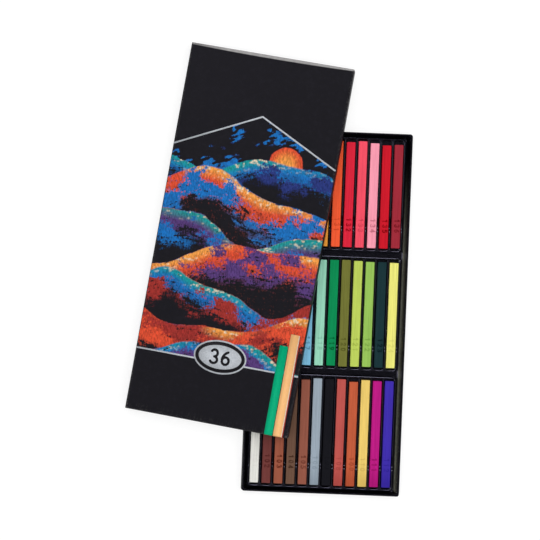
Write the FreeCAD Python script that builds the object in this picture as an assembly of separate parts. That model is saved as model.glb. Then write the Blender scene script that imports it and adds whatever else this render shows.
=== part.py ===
import FreeCAD
import Part
import math
import os

# A flat box of square pastel sticks. One thin black formed tray holds three rows of sticks in
# slots, and a paper-wrapped board lid lies askew across it, one corner down on the table.
# Millimetres. X runs across the rows, Y along the tray towards its far end, Z up.
# The origin is on the table under the middle of the tray.

# Sticks
STICK_SIDE = 7.6
STICK_LENGTH = 92.1
STICK_LENGTH_SPREAD = 2.4
STICK_BROKEN_EDGE = 0.35

# Rows and slots of the tray
COLUMNS = 12
ROWS = 3
RIB_WIDTH = 1.43
SLOT_SIDE_CLEARANCE = 0.7
SLOT_SIDE_PLAY = 0.2
SLOT_END_CLEARANCE = 1.9
SLOT_END_PLAY = 0.6
SLOT_CORNER = 2.4
SLOT_DRAFT = 0.3
SLOT_DEPTH = 6.0

# Finger scoops that cross the ribs near the sticks' near ends
SCOOP_LENGTH = 13.0
SCOOP_FLOOR = 6.0
SCOOP_DEPTH = 3.4
SCOOP_FROM_STICK_END = 21.0

# The raised pad round each row's slots
PAD_SIDE_RIM = 1.2
PAD_END_RIM = 1.1
PAD_DRAFT = 0.3
PAD_CORNER = 3.6
PAD_HEIGHT = 9.6
TROUGH_WIDTH = 4.5

# The tray's rim, its inner wall and its outer skirt
TRAY_SHEET = 0.45
TRAY_HEIGHT = 14.2
SKIRT_DRAFT = 1.3
SKIRT_CORNER = 2.4
SKIRT_CORNER_EASE = 0.6
RIM_WIDTH = 1.2
WALL_DRAFT = 1.7
BASIN_CORNER = 3.2
BASIN_CORNER_EASE = 0.9

# The flat bottom of the basin outside the pads, on each side
GROOVE_WEST = 0.95
GROOVE_EAST = 2.55
GROOVE_SOUTH = 0.8
GROOVE_NORTH = 0.8

# Lid: a board shell, its paper wrap and the paper stays on its corners
LID_BOARD = 1.2
LID_PAPER = 0.2
LID_SIDE_CLEARANCE = 0.7
LID_END_CLEARANCE = 1.0
LID_FOOT_CLEARANCE = 0.6
LID_TOP_EDGE = 1.6
LID_UPRIGHT_EDGE = 0.6
LID_TURN_IN = 10.0
STAY_LEG = 12.0
STAY_BELOW_TOP = 1.6

# Where the lid lies, from the tray's middle to the middle of the lid's mouth
LID_WEST_BY = 77.0
LID_NORTH_BY = 60.0
LID_TURN = 8.1
LID_REST_CLEARANCE = 0.3

# How far each stick has slid from the near end of its slot, as a share of its play
BACK_ROW_SHARES = (0.0, 0.1, 0.05, 0.0, 0.1, 0.05, 0.12, 0.05, 0.1, 0.0, 0.0, 1.0)
MIDDLE_ROW_SHARES = (0.05, 0.1, 0.0, 0.08, 0.1, 0.4, 0.8, 0.0, 0.4, 0.8, 0.3, 0.3)
FRONT_ROW_SHARES = (0.3, 0.1, 0.15, 0.1, 0.3, 0.0, 0.0, 0.0, 0.0, 0.0, 0.2, 0.1)
ROW_SHARES = (FRONT_ROW_SHARES, MIDDLE_ROW_SHARES, BACK_ROW_SHARES)

# How far each stick lies to the right of its slot's middle, as a share of its play there
BACK_SIDE_SHARES = (-0.3, 0.5, 0.1, -0.6, 0.4, 0.2, 0.7, 0.9, 1.0, 0.9, 1.0, 1.0)
MIDDLE_SIDE_SHARES = (0.3, -0.4, 0.5, 0.1, -0.3, 0.6, 1.0, 0.4, 0.2, -0.2, 0.0, -0.2)
FRONT_SIDE_SHARES = (0.2, 0.4, 0.6, 0.8, 1.0, 0.9, 1.0, 0.0, 0.5, 0.0, -1.0, -1.0)
SIDE_SHARES = (FRONT_SIDE_SHARES, MIDDLE_SIDE_SHARES, BACK_SIDE_SHARES)

# How much longer or shorter than usual each stick was cut, as a share of the spread
BACK_LENGTH_SHARES = (0.0, 0.2, 0.0, -0.3, 0.1, 0.0, 0.0, -0.3, 0.15, -0.4, -1.0, -0.9)
MIDDLE_LENGTH_SHARES = (0.0, -0.2, 0.1, 0.0, 0.0, -0.1, -0.1, 0.25, -0.05, -0.35, -0.1, -0.25)
FRONT_LENGTH_SHARES = (0.0, 0.0, 0.0, 0.0, -0.45, 0.25, 0.2, 0.25, -0.55, 0.25, 0.0, 0.2)
LENGTH_SHARES = (FRONT_LENGTH_SHARES, MIDDLE_LENGTH_SHARES, BACK_LENGTH_SHARES)

# The sticks' colours from left to right, for the front row, the middle row and the back row
FRONT_ROW = ("white", "plum_brown", "terracotta", "umber", "chestnut", "blue_grey")
FRONT_ROW += ("black", "brick_red", "rust", "ochre", "magenta", "violet")
MIDDLE_ROW = ("lilac", "navy", "cobalt", "azure", "light_blue", "mint")
MIDDLE_ROW += ("green", "olive", "lime", "leaf_green", "dark_teal", "pale_yellow")
BACK_ROW = ("sand", "cream", "lemon", "yellow", "gold", "amber")
BACK_ROW += ("orange", "crimson", "coral", "pink", "red", "maroon")
ROW_NAMES = (FRONT_ROW, MIDDLE_ROW, BACK_ROW)

# One overrun for every cut
OVERRUN = 2.0

# Sizes that follow from the ones above
SLOT_WIDTH = STICK_SIDE + 2 * SLOT_SIDE_CLEARANCE
SLOT_LENGTH = STICK_LENGTH + 2 * SLOT_END_CLEARANCE + SLOT_END_PLAY
COLUMN_PITCH = SLOT_WIDTH + RIB_WIDTH
FIELD_WIDTH = COLUMNS * SLOT_WIDTH + (COLUMNS - 1) * RIB_WIDTH
PAD_WIDTH = FIELD_WIDTH + 2 * PAD_SIDE_RIM
PAD_LENGTH = SLOT_LENGTH + 2 * PAD_END_RIM
ROW_PITCH = PAD_LENGTH + 2 * PAD_DRAFT + TROUGH_WIDTH
SLOT_FLOOR = PAD_HEIGHT - SLOT_DEPTH

BASIN_WIDTH = GROOVE_WEST + 2 * PAD_DRAFT + PAD_WIDTH + GROOVE_EAST
BASIN_LENGTH = GROOVE_SOUTH + (ROWS - 1) * ROW_PITCH + 2 * PAD_DRAFT + PAD_LENGTH + GROOVE_NORTH
RING = SKIRT_DRAFT + RIM_WIDTH + WALL_DRAFT
TRAY_WIDTH = BASIN_WIDTH + 2 * RING
TRAY_LENGTH = BASIN_LENGTH + 2 * RING

PAD_WEST = -TRAY_WIDTH / 2 + RING + GROOVE_WEST + PAD_DRAFT
PAD_SOUTH = -TRAY_LENGTH / 2 + RING + GROOVE_SOUTH + PAD_DRAFT
SLOT_WEST = PAD_WEST + PAD_SIDE_RIM
SLOT_SOUTH = PAD_SOUTH + PAD_END_RIM

LID_WALL = LID_PAPER + LID_BOARD + LID_PAPER
LID_WIDTH = TRAY_WIDTH + 2 * LID_SIDE_CLEARANCE + 2 * LID_WALL
LID_LENGTH = TRAY_LENGTH + 2 * LID_END_CLEARANCE + 2 * LID_WALL
LID_PANEL = LID_BOARD + LID_PAPER
LID_HEIGHT = TRAY_HEIGHT - LID_FOOT_CLEARANCE + LID_PANEL


class Plan:
    """A rectangle seen from above, its corners round, or cut straight from end to end."""

    def __init__(self, west, south, east, north, corner, straight=False):
        self.west = west
        self.south = south
        self.east = east
        self.north = north
        self.corner = corner
        self.straight = straight

    def grown(self, by, corner=None):
        """The outline this far outside the one here, or inside it if the distance is negative."""
        if corner is None:
            corner = self.corner + by
        sides = (self.west - by, self.south - by, self.east + by, self.north + by)
        return Plan(*sides, corner, self.straight)

    def one_sheet_off(self, by):
        """The outline on a sheet's other side. Its straight corners never thin the sheet."""
        other = self.grown(by)
        other.straight = True
        if by > 0:
            other.corner *= 2 - math.sqrt(2)
        return other

    def towards(self, other, share):
        """The outline at a share of the way to another one. A share over 1 goes past it."""
        mine = (self.west, self.south, self.east, self.north, self.corner)
        theirs = (other.west, other.south, other.east, other.north, other.corner)
        return Plan(*[a + (b - a) * share for a, b in zip(mine, theirs)], self.straight)

    def edges(self, height):
        """The outline's four corners and four sides at this height, in turn."""
        slant = self.corner * (1 - math.sqrt(0.5))
        w, s, e, n, r = self.west, self.south, self.east, self.north, self.corner
        corners = (
            ((w, s + r), (w + slant, s + slant), (w + r, s)),
            ((e - r, s), (e - slant, s + slant), (e, s + r)),
            ((e, n - r), (e - slant, n - slant), (e - r, n)),
            ((w + r, n), (w + slant, n - slant), (w, n - r)),
        )
        edges = []
        for index, corner in enumerate(corners):
            start, middle, end = [FreeCAD.Vector(x, y, height) for x, y in corner]
            following = FreeCAD.Vector(*corners[(index + 1) % len(corners)][0], height)
            if self.straight:
                edges.append(Part.makeLine(start, end))
            else:
                edges.append(Part.Arc(start, middle, end).toShape())
            edges.append(Part.makeLine(end, following))
        return edges


class Taper:
    """A form whose outline changes evenly from one height to another, as a mould's draft does."""

    def __init__(self, low, low_z, high, high_z):
        self.low = low
        self.low_z = low_z
        self.high = high
        self.high_z = high_z

    def one_sheet_off(self, by):
        """The same form on a sheet's other side, out by this much or in if it is negative."""
        low, high = self.low.one_sheet_off(by), self.high.one_sheet_off(by)
        return Taper(low, self.low_z, high, self.high_z)

    def plan_at(self, height):
        """The outline at a height, which may be past either end."""
        share = (height - self.low_z) / (self.high_z - self.low_z)
        return self.low.towards(self.high, share)

    def solid(self, bottom, top):
        """The closed solid between two heights, with flat walls and evenly drafted corners."""
        lower = self.plan_at(bottom).edges(bottom)
        upper = self.plan_at(top).edges(top)
        faces = [Part.Face(Part.Wire(lower)), Part.Face(Part.Wire(upper))]
        for low, high in zip(lower, upper):
            if isinstance(low.Curve, Part.Line):
                low_start, low_end = [vertex.Point for vertex in low.Vertexes]
                high_start, high_end = [vertex.Point for vertex in high.Vertexes]
                ring = [low_start, low_end, high_end, high_start, low_start]
                faces.append(Part.Face(Part.makePolygon(ring)))
            else:
                faces.append(Part.makeRuledSurface(low, high))
        shell = Part.makeShell(faces)
        shell.sewShape()
        solid = Part.makeSolid(shell)
        if solid.Volume < 0:
            solid.reverse()
        return solid


def block(west, south, bottom, east, north, top):
    """A plain block between two corners."""
    size = (east - west, north - south, top - bottom)
    return Part.makeBox(*size, FreeCAD.Vector(west, south, bottom))


def skirt_form():
    """The tray's outside, widest at the foot."""
    foot = Plan(
        -TRAY_WIDTH / 2, -TRAY_LENGTH / 2, TRAY_WIDTH / 2, TRAY_LENGTH / 2, SKIRT_CORNER
    )
    top = foot.grown(-SKIRT_DRAFT)
    top.corner = SKIRT_CORNER - SKIRT_CORNER_EASE
    return Taper(foot, 0, top, TRAY_HEIGHT)


def basin_form():
    """The tray's inside, from its flat bottom up the sloping wall to the rim."""
    edge = SKIRT_DRAFT + RIM_WIDTH
    top = Plan(
        edge - TRAY_WIDTH / 2,
        edge - TRAY_LENGTH / 2,
        TRAY_WIDTH / 2 - edge,
        TRAY_LENGTH / 2 - edge,
        BASIN_CORNER,
    )
    bottom = top.grown(-WALL_DRAFT)
    bottom.corner = BASIN_CORNER - BASIN_CORNER_EASE
    return Taper(bottom, TRAY_SHEET, top, TRAY_HEIGHT)


def pad_form():
    """The front row's raised pad. The other rows repeat it."""
    top = Plan(PAD_WEST, PAD_SOUTH, PAD_WEST + PAD_WIDTH, PAD_SOUTH + PAD_LENGTH, PAD_CORNER)
    return Taper(top.grown(PAD_DRAFT, PAD_CORNER), TRAY_SHEET, top, PAD_HEIGHT)


def slot_form(column):
    """One slot of the front row, with round corners and walls that lean out."""
    west = SLOT_WEST + column * COLUMN_PITCH
    mouth = Plan(west, SLOT_SOUTH, west + SLOT_WIDTH, SLOT_SOUTH + SLOT_LENGTH, SLOT_CORNER)
    return Taper(mouth.grown(-SLOT_DRAFT, SLOT_CORNER), SLOT_FLOOR, mouth, PAD_HEIGHT)


def scoop(outside):
    """The finger scoop across the front row: a bar with sloping ends that cuts the ribs."""
    middle = SLOT_SOUTH + SLOT_END_CLEARANCE + SCOOP_FROM_STICK_END
    floor = PAD_HEIGHT - SCOOP_DEPTH - outside
    top = PAD_HEIGHT + OVERRUN
    slope = (SCOOP_LENGTH - SCOOP_FLOOR) / 2 / SCOOP_DEPTH
    half_floor = SCOOP_FLOOR / 2 + outside
    half_top = half_floor + slope * (top - floor)
    west = PAD_WEST - PAD_DRAFT - OVERRUN
    section = (
        (middle - half_top, top),
        (middle - half_floor, floor),
        (middle + half_floor, floor),
        (middle + half_top, top),
    )
    points = [FreeCAD.Vector(west, y, z) for y, z in section]
    outline = Part.makePolygon(points + points[:1])
    length = PAD_WIDTH + 2 * PAD_DRAFT + 2 * OVERRUN
    return Part.Face(outline).extrude(FreeCAD.Vector(length, 0, 0))


def pad_block():
    """The front row's pad with its slots and scoop sunk in it, still solid below."""
    slots = [slot_form(c).solid(SLOT_FLOOR, PAD_HEIGHT + OVERRUN) for c in range(COLUMNS)]
    return pad_form().solid(0, PAD_HEIGHT).cut(slots + [scoop(0)])


def pad_hollow():
    """What is open under the front row's pad, one sheet's thickness below its surface."""
    hollow = pad_form().one_sheet_off(-TRAY_SHEET).solid(-OVERRUN, PAD_HEIGHT - TRAY_SHEET)
    slots = []
    for column in range(COLUMNS):
        form = slot_form(column).one_sheet_off(TRAY_SHEET)
        slots.append(form.solid(SLOT_FLOOR - TRAY_SHEET, PAD_HEIGHT + OVERRUN))
    return hollow.cut(slots + [scoop(TRAY_SHEET)])


def in_each_row(shape):
    """Copies of a front row's shape, one for each row."""
    copies = []
    for row in range(ROWS):
        copy = shape.copy()
        copy.translate(FreeCAD.Vector(0, row * ROW_PITCH, 0))
        copies.append(copy)
    return copies


def make_tray():
    """The tray, one formed sheet: skirt, rim, basin and three slotted pads, open below."""
    inside_skirt = skirt_form().one_sheet_off(-TRAY_SHEET)
    outside_basin = basin_form().one_sheet_off(TRAY_SHEET)
    under_rim = inside_skirt.solid(-OVERRUN, TRAY_HEIGHT - TRAY_SHEET)
    under_rim = under_rim.cut(outside_basin.solid(-2 * OVERRUN, TRAY_HEIGHT))
    basin = basin_form().solid(TRAY_SHEET, TRAY_HEIGHT + OVERRUN)
    frame = skirt_form().solid(0, TRAY_HEIGHT).cut(basin)
    tray = frame.fuse(in_each_row(pad_block()))
    return tray.cut([under_rim] + in_each_row(pad_hollow())).removeSplitter()


def make_stick(row, column):
    """One square stick, its long edges lightly broken, on the floor of its slot."""
    west = SLOT_WEST + column * COLUMN_PITCH + SLOT_SIDE_CLEARANCE
    west += SIDE_SHARES[row][column] * SLOT_SIDE_PLAY
    slid = ROW_SHARES[row][column] * SLOT_END_PLAY
    south = SLOT_SOUTH + row * ROW_PITCH + SLOT_END_CLEARANCE + slid
    length = STICK_LENGTH + LENGTH_SHARES[row][column] * STICK_LENGTH_SPREAD
    low, high = STICK_BROKEN_EDGE, STICK_SIDE - STICK_BROKEN_EDGE
    section = (
        (low, 0),
        (high, 0),
        (STICK_SIDE, low),
        (STICK_SIDE, high),
        (high, STICK_SIDE),
        (low, STICK_SIDE),
        (0, high),
        (0, low),
    )
    points = [FreeCAD.Vector(west + x, south, SLOT_FLOOR + z) for x, z in section]
    outline = Part.makePolygon(points + points[:1])
    return Part.Face(outline).extrude(FreeCAD.Vector(0, length, 0))


def lid_block(inset, bottom, top):
    """A plain block inside the lid's outline, in the lid's own level frame."""
    x, y = LID_WIDTH / 2 - inset, LID_LENGTH / 2 - inset
    return block(-x, -y, bottom, x, y, top)


def rounded_lid_block(inset, bottom, top):
    """The same block with its upper and upright edges rounded as a folded board's are."""
    shape = lid_block(inset, bottom, top)
    upright, upper = [], []
    for edge in shape.Edges:
        ends = [vertex.Point.z for vertex in edge.Vertexes]
        if max(ends) - min(ends) > (top - bottom) / 2:
            upright.append(edge)
        elif min(ends) > (top + bottom) / 2:
            upper.append(edge)
    shape = shape.makeFillet(LID_UPRIGHT_EDGE - inset, upright)
    upper = [e for e in shape.Edges if min(v.Point.z for v in e.Vertexes) > (top + bottom) / 2]
    return shape.makeFillet(LID_TOP_EDGE - inset, upper)


def lid_hollow(inset, bottom):
    """The lid's hollow above a height, to the underside of its panel."""
    return lid_block(inset, bottom, LID_HEIGHT - LID_PANEL)


def make_stays(board_block):
    """The four paper stays that bind the board's corners, let into its outer face."""
    stays = []
    inner = lid_block(2 * LID_PAPER, -OVERRUN, LID_HEIGHT)
    top = LID_HEIGHT - LID_PAPER - STAY_BELOW_TOP
    reach_x, reach_y = LID_WIDTH / 2 - LID_PAPER - STAY_LEG, LID_LENGTH / 2 - LID_PAPER - STAY_LEG
    for side in (-1, 1):
        for end in (-1, 1):
            x = sorted((side * reach_x, side * LID_WIDTH / 2))
            y = sorted((end * reach_y, end * LID_LENGTH / 2))
            corner = block(x[0], y[0], LID_PAPER, x[1], y[1], top)
            stays.append(board_block.common(corner).cut(inner))
    return Part.makeCompound(stays)


def make_lid():
    """The lid's board, wrap and corner stays, in the lid's own level frame."""
    board_block = rounded_lid_block(LID_PAPER, LID_PAPER, LID_HEIGHT - LID_PAPER)
    stays = make_stays(board_block)
    board = board_block.cut(lid_hollow(LID_PAPER + LID_BOARD, -OVERRUN)).cut(stays)
    wrap = rounded_lid_block(0, 0, LID_HEIGHT).cut(board_block)
    turned = lid_block(LID_PAPER + LID_BOARD, 0, LID_TURN_IN)
    wrap = wrap.fuse(turned).cut(lid_hollow(LID_WALL, -OVERRUN)).removeSplitter()
    return {"lid_board": board, "lid_wrap": wrap, "lid_corner_stays": stays}


def lid_resting_place():
    """How the lid lies: one far corner on the table, two of its walls across the tray's rim."""
    turn = math.radians(LID_TURN)
    across = FreeCAD.Vector(math.cos(turn), -math.sin(turn), 0)
    along = FreeCAD.Vector(math.sin(turn), math.cos(turn), 0)
    middle = FreeCAD.Vector(-LID_WEST_BY, LID_NORTH_BY, 0)
    corner = middle - across * (LID_WIDTH / 2) + along * (LID_LENGTH / 2)
    east_wall = middle + across * (LID_WIDTH / 2 - LID_WALL)
    south_wall = middle - along * (LID_LENGTH / 2 - LID_WALL)
    rim_north = TRAY_LENGTH / 2 - SKIRT_DRAFT
    rim_west = SKIRT_DRAFT - TRAY_WIDTH / 2
    on_north_rim = east_wall + along * ((rim_north - east_wall.y) / along.y)
    on_west_rim = south_wall + across * ((rim_west - south_wall.x) / across.x)
    lift = FreeCAD.Vector(0, 0, TRAY_HEIGHT)
    normal = (on_west_rim + lift - corner).cross(on_north_rim + lift - corner)
    if normal.z < 0:
        normal = -normal
    normal.normalize()
    long_axis = along - FreeCAD.Vector(0, 0, along.dot(normal) / normal.z)
    long_axis.normalize()
    short_axis = long_axis.cross(normal)
    low_corner = short_axis * (-LID_WIDTH / 2) + long_axis * (LID_LENGTH / 2)
    base = corner + FreeCAD.Vector(0, 0, LID_REST_CLEARANCE) - low_corner
    return FreeCAD.Placement(
        FreeCAD.Matrix(
            short_axis.x, long_axis.x, normal.x, base.x,
            short_axis.y, long_axis.y, normal.y, base.y,
            short_axis.z, long_axis.z, normal.z, base.z,
            0, 0, 0, 1,
        )
    )


def main():
    """Build every piece and write one file for each."""
    os.makedirs("parts", exist_ok=True)
    pieces = {"tray": make_tray()}
    for row in range(ROWS):
        for column in range(COLUMNS):
            pieces["stick_" + ROW_NAMES[row][column]] = make_stick(row, column)
    place = lid_resting_place()
    for name, shape in make_lid().items():
        shape.Placement = place
        pieces[name] = shape
    for name, shape in pieces.items():
        shape.exportStep(os.path.join("parts", name + ".step"))
        print(name, "valid" if shape.isValid() else "NOT VALID", round(shape.Volume))


main()
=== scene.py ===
import logging
import math
from dataclasses import dataclass, field
from enum import Enum, IntEnum

import bmesh
import bpy
import numpy as np
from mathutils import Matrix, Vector


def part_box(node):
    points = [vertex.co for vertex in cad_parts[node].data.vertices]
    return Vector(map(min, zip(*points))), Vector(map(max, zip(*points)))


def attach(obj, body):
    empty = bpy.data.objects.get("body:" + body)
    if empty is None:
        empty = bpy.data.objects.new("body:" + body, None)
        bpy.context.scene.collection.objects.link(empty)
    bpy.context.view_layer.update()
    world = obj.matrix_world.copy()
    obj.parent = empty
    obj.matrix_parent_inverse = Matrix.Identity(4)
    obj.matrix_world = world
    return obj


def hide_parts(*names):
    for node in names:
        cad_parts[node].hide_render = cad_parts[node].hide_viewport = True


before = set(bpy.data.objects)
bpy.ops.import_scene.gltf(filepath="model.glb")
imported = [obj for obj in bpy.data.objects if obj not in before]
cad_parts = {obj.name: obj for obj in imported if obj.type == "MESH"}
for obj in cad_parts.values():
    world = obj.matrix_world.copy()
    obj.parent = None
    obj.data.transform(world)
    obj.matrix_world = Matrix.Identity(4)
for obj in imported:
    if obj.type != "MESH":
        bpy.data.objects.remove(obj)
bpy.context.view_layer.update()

MM = 0.001
log = logging.getLogger("pastel_box")
Array = np.ndarray
Colour = tuple[float, float, float]
Box = tuple[float, float, float, float]
Value = object | float | tuple


def linear(colour: Colour) -> tuple[float, float, float, float]:
    """Turn a colour as a screen shows it into the linear one a shader takes.

    Args:
        colour: Red, green and blue from 0 to 255.

    Returns:
        Linear red, green, blue and a full alpha.
    """
    c = np.asarray(colour, float) / 255
    c = np.where(c <= 0.04045, c / 12.92, ((c + 0.055) / 1.055) ** 2.4)
    return (float(c[0]), float(c[1]), float(c[2]), 1.0)


def toned(colour: Colour, gain: float) -> tuple[float, float, float, float]:
    """The linear form of a colour, lighter or darker by this factor."""
    return tuple(min(1.0, part * gain) for part in linear(colour)[:3]) + (1.0,)


def in_scene(name: str, data: bpy.types.ID) -> bpy.types.Object:
    """Make an object of a mesh, lamp or camera and put it in the scene."""
    made = bpy.data.objects.new(name, data)
    bpy.context.scene.collection.objects.link(made)
    return made


def smooth(low: float, high: float, value: Array) -> Array:
    """Rise from 0 at low to 1 at high along the cubic 3t^2 - 2t^3.

    Args:
        low: Where the rise starts.
        high: Where it ends.
        value: The places to read it at.

    Returns:
        The height at each place.
    """
    t = np.clip((value - low) / (high - low), 0, 1)
    return t * t * (3 - 2 * t)


class Noise:
    """Smooth seeded noise: a lattice of random numbers, blended by the cubic 3t^2 - 2t^3."""

    def __init__(self, seed: int) -> None:
        """Fill the lattice.

        Args:
            seed: The same seed gives the same noise.
        """
        self.lattice = np.random.default_rng(seed).random((256, 256))

    def at(self, u: Array, v: Array) -> Array:
        """Read the noise, from 0 to 1, at the places u, v, counted in lattice cells."""
        iu, iv = np.floor(u).astype(int), np.floor(v).astype(int)
        fu, fv = u - iu, v - iv
        fu, fv = fu * fu * (3 - 2 * fu), fv * fv * (3 - 2 * fv)
        i, j, i1, j1 = iu & 255, iv & 255, (iu + 1) & 255, (iv + 1) & 255
        near = self.lattice[i, j] * (1 - fu) + self.lattice[i1, j] * fu
        far = self.lattice[i, j1] * (1 - fu) + self.lattice[i1, j1] * fu
        return near * (1 - fv) + far * fv

    def fractal(self, u: Array, v: Array, octaves: int = 3) -> Array:
        """Sum octaves of the noise, each twice as fine and half as strong, scaled to 0 to 1."""
        total, weight, size = 0.0, 0.0, 1.0
        for octave in range(octaves):
            total = total + size * self.at(u * 2**octave + 17 * octave, v * 2**octave + 31 * octave)
            weight += size
            size /= 2
        return total / weight


class Draft:
    """Points, faces and values gathered as whole arrays and then put into one mesh."""

    coloured = ("ink", "under")

    def __init__(self) -> None:
        """Start with nothing."""
        self.points: list[Array] = []
        self.quads: list[Array] = []
        self.caps: list[Array] = []
        self.values: dict[str, list[Array]] = {}
        self.count = 0

    def add_points(self, points: Array, **values: Array) -> Array:
        """Take in points of any array shape and the values that go with them.

        Args:
            points: An array of shape (..., 3), in millimetres.
            **values: For each attribute, an array that broadcasts to the points' shape.

        Returns:
            The index of each point, in the shape of the array.
        """
        shape = points.shape[:-1]
        index = np.arange(self.count, self.count + int(np.prod(shape))).reshape(shape)
        self.points.append(points.reshape(-1, 3))
        for name in sorted(set(self.values) | set(values)):
            wide = 4 if name in self.coloured else 1
            row = values.get(name, 0.0)
            target = shape + (4,) if wide == 4 else shape
            if name not in self.values:
                self.values[name] = [np.zeros((self.count, wide))] if self.count else []
            self.values[name].append(np.broadcast_to(row, target).reshape(-1, wide))
        self.count += index.size
        return index

    def add_quads(self, index: Array, closed: bool = False, flip: bool = False) -> None:
        """Join neighbours of an index grid (..., T, N) by quads, round the last axis if closed."""
        ahead = np.roll(index, -1, axis=-1)
        if not closed:
            index, ahead = index[..., :-1], ahead[..., :-1]
        a, b, c, d = index[..., :-1, :], ahead[..., :-1, :], ahead[..., 1:, :], index[..., 1:, :]
        self.quads.append(np.stack([a, d, c, b] if flip else [a, b, c, d], axis=-1).reshape(-1, 4))

    def add_cap(self, loops: Array, flip: bool = False) -> None:
        """Close each loop of an index array (..., N) by one flat face."""
        loops = loops.reshape(-1, loops.shape[-1])
        self.caps.append(loops[:, ::-1] if flip else loops)

    def to_object(
        self, name: str, material: bpy.types.Material, merge: float = 0.001
    ) -> bpy.types.Object:
        """Make the object, with its doubles merged and its faces smooth.

        Args:
            name: The object's name.
            material: Its material.
            merge: The distance, in millimetres, within which points become one.

        Returns:
            The new object, at the origin, with its place in its mesh.
        """
        mesh = bpy.data.meshes.new(name)
        points = np.concatenate(self.points) * MM
        faces = self.quads + self.caps
        corners = np.concatenate([rows.ravel() for rows in faces])
        sizes = np.concatenate([np.full(len(rows), rows.shape[1]) for rows in faces])
        mesh.vertices.add(len(points))
        mesh.vertices.foreach_set("co", points.astype(np.float32).ravel())
        mesh.loops.add(len(corners))
        mesh.loops.foreach_set("vertex_index", corners.astype(np.int32))
        mesh.polygons.add(len(sizes))
        mesh.polygons.foreach_set("loop_start", (np.cumsum(sizes) - sizes).astype(np.int32))
        for key, rows in self.values.items():
            kind = "FLOAT_COLOR" if key in self.coloured else "FLOAT"
            attribute = mesh.attributes.new(key, kind, "POINT")
            channel = "color" if key in self.coloured else "value"
            attribute.data.foreach_set(channel, np.concatenate(rows).astype(np.float32).ravel())
        mesh.update(calc_edges=True)
        work = bmesh.new()
        work.from_mesh(mesh)
        bmesh.ops.remove_doubles(work, verts=work.verts, dist=merge * MM)
        work.to_mesh(mesh)
        work.free()
        mesh.shade_smooth()
        mesh.materials.append(material)
        return in_scene(name, mesh)


def about(x: float, y: float) -> Box:
    """A rectangle of these half sides round the origin, as its west, south, east and north."""
    return (-x, -y, x, y)


def grown(box: Box, by: float) -> Box:
    """A rectangle with each side moved out by this much."""
    return (box[0] - by, box[1] - by, box[2] + by, box[3] + by)


def fillet(offset: float, height: float, radius: float, convex: bool, steps: int) -> Array:
    """The points of a quarter-round between a flat top and a wall, as (offset, height) pairs.

    A convex one turns down from the flat, at offset + radius, to the wall, at offset. The other
    turns from the wall, at offset, to the flat below it, at offset - radius.

    Args:
        offset: How far out the wall stands.
        height: The height of the flat.
        radius: The radius of the round.
        convex: True where the flat is above the wall.
        steps: How many chords the quarter has.

    Returns:
        An array of shape (steps + 1, 2), from the wall's outer side inwards.
    """
    angle = np.linspace(0, math.pi / 2, steps + 1)
    sine, cosine = radius * (1 - np.sin(angle)), radius * (1 - np.cos(angle))
    if convex:
        return np.stack([offset + sine, height - cosine], 1)
    return np.stack([offset - cosine, height + sine], 1)


class Part(IntEnum):
    """The parts of a rounded rectangle: its sides, then its corners, both anticlockwise."""

    NEAR, RIGHT, FAR, LEFT = range(4)
    NEAR_LEFT, NEAR_RIGHT, FAR_RIGHT, FAR_LEFT = range(4, 8)


CORNERS = (Part.NEAR_LEFT, Part.NEAR_RIGHT, Part.FAR_RIGHT, Part.FAR_LEFT)
NEAR_CORNERS, FAR_CORNERS = CORNERS[:2], CORNERS[2:]
RIGHT_CORNERS, LEFT_CORNERS = CORNERS[1:3], CORNERS[::3]
# A corner has ARC stations, and INNER is the first one past its middle.
ARC = 7
INNER = ARC // 2 + 1


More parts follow.
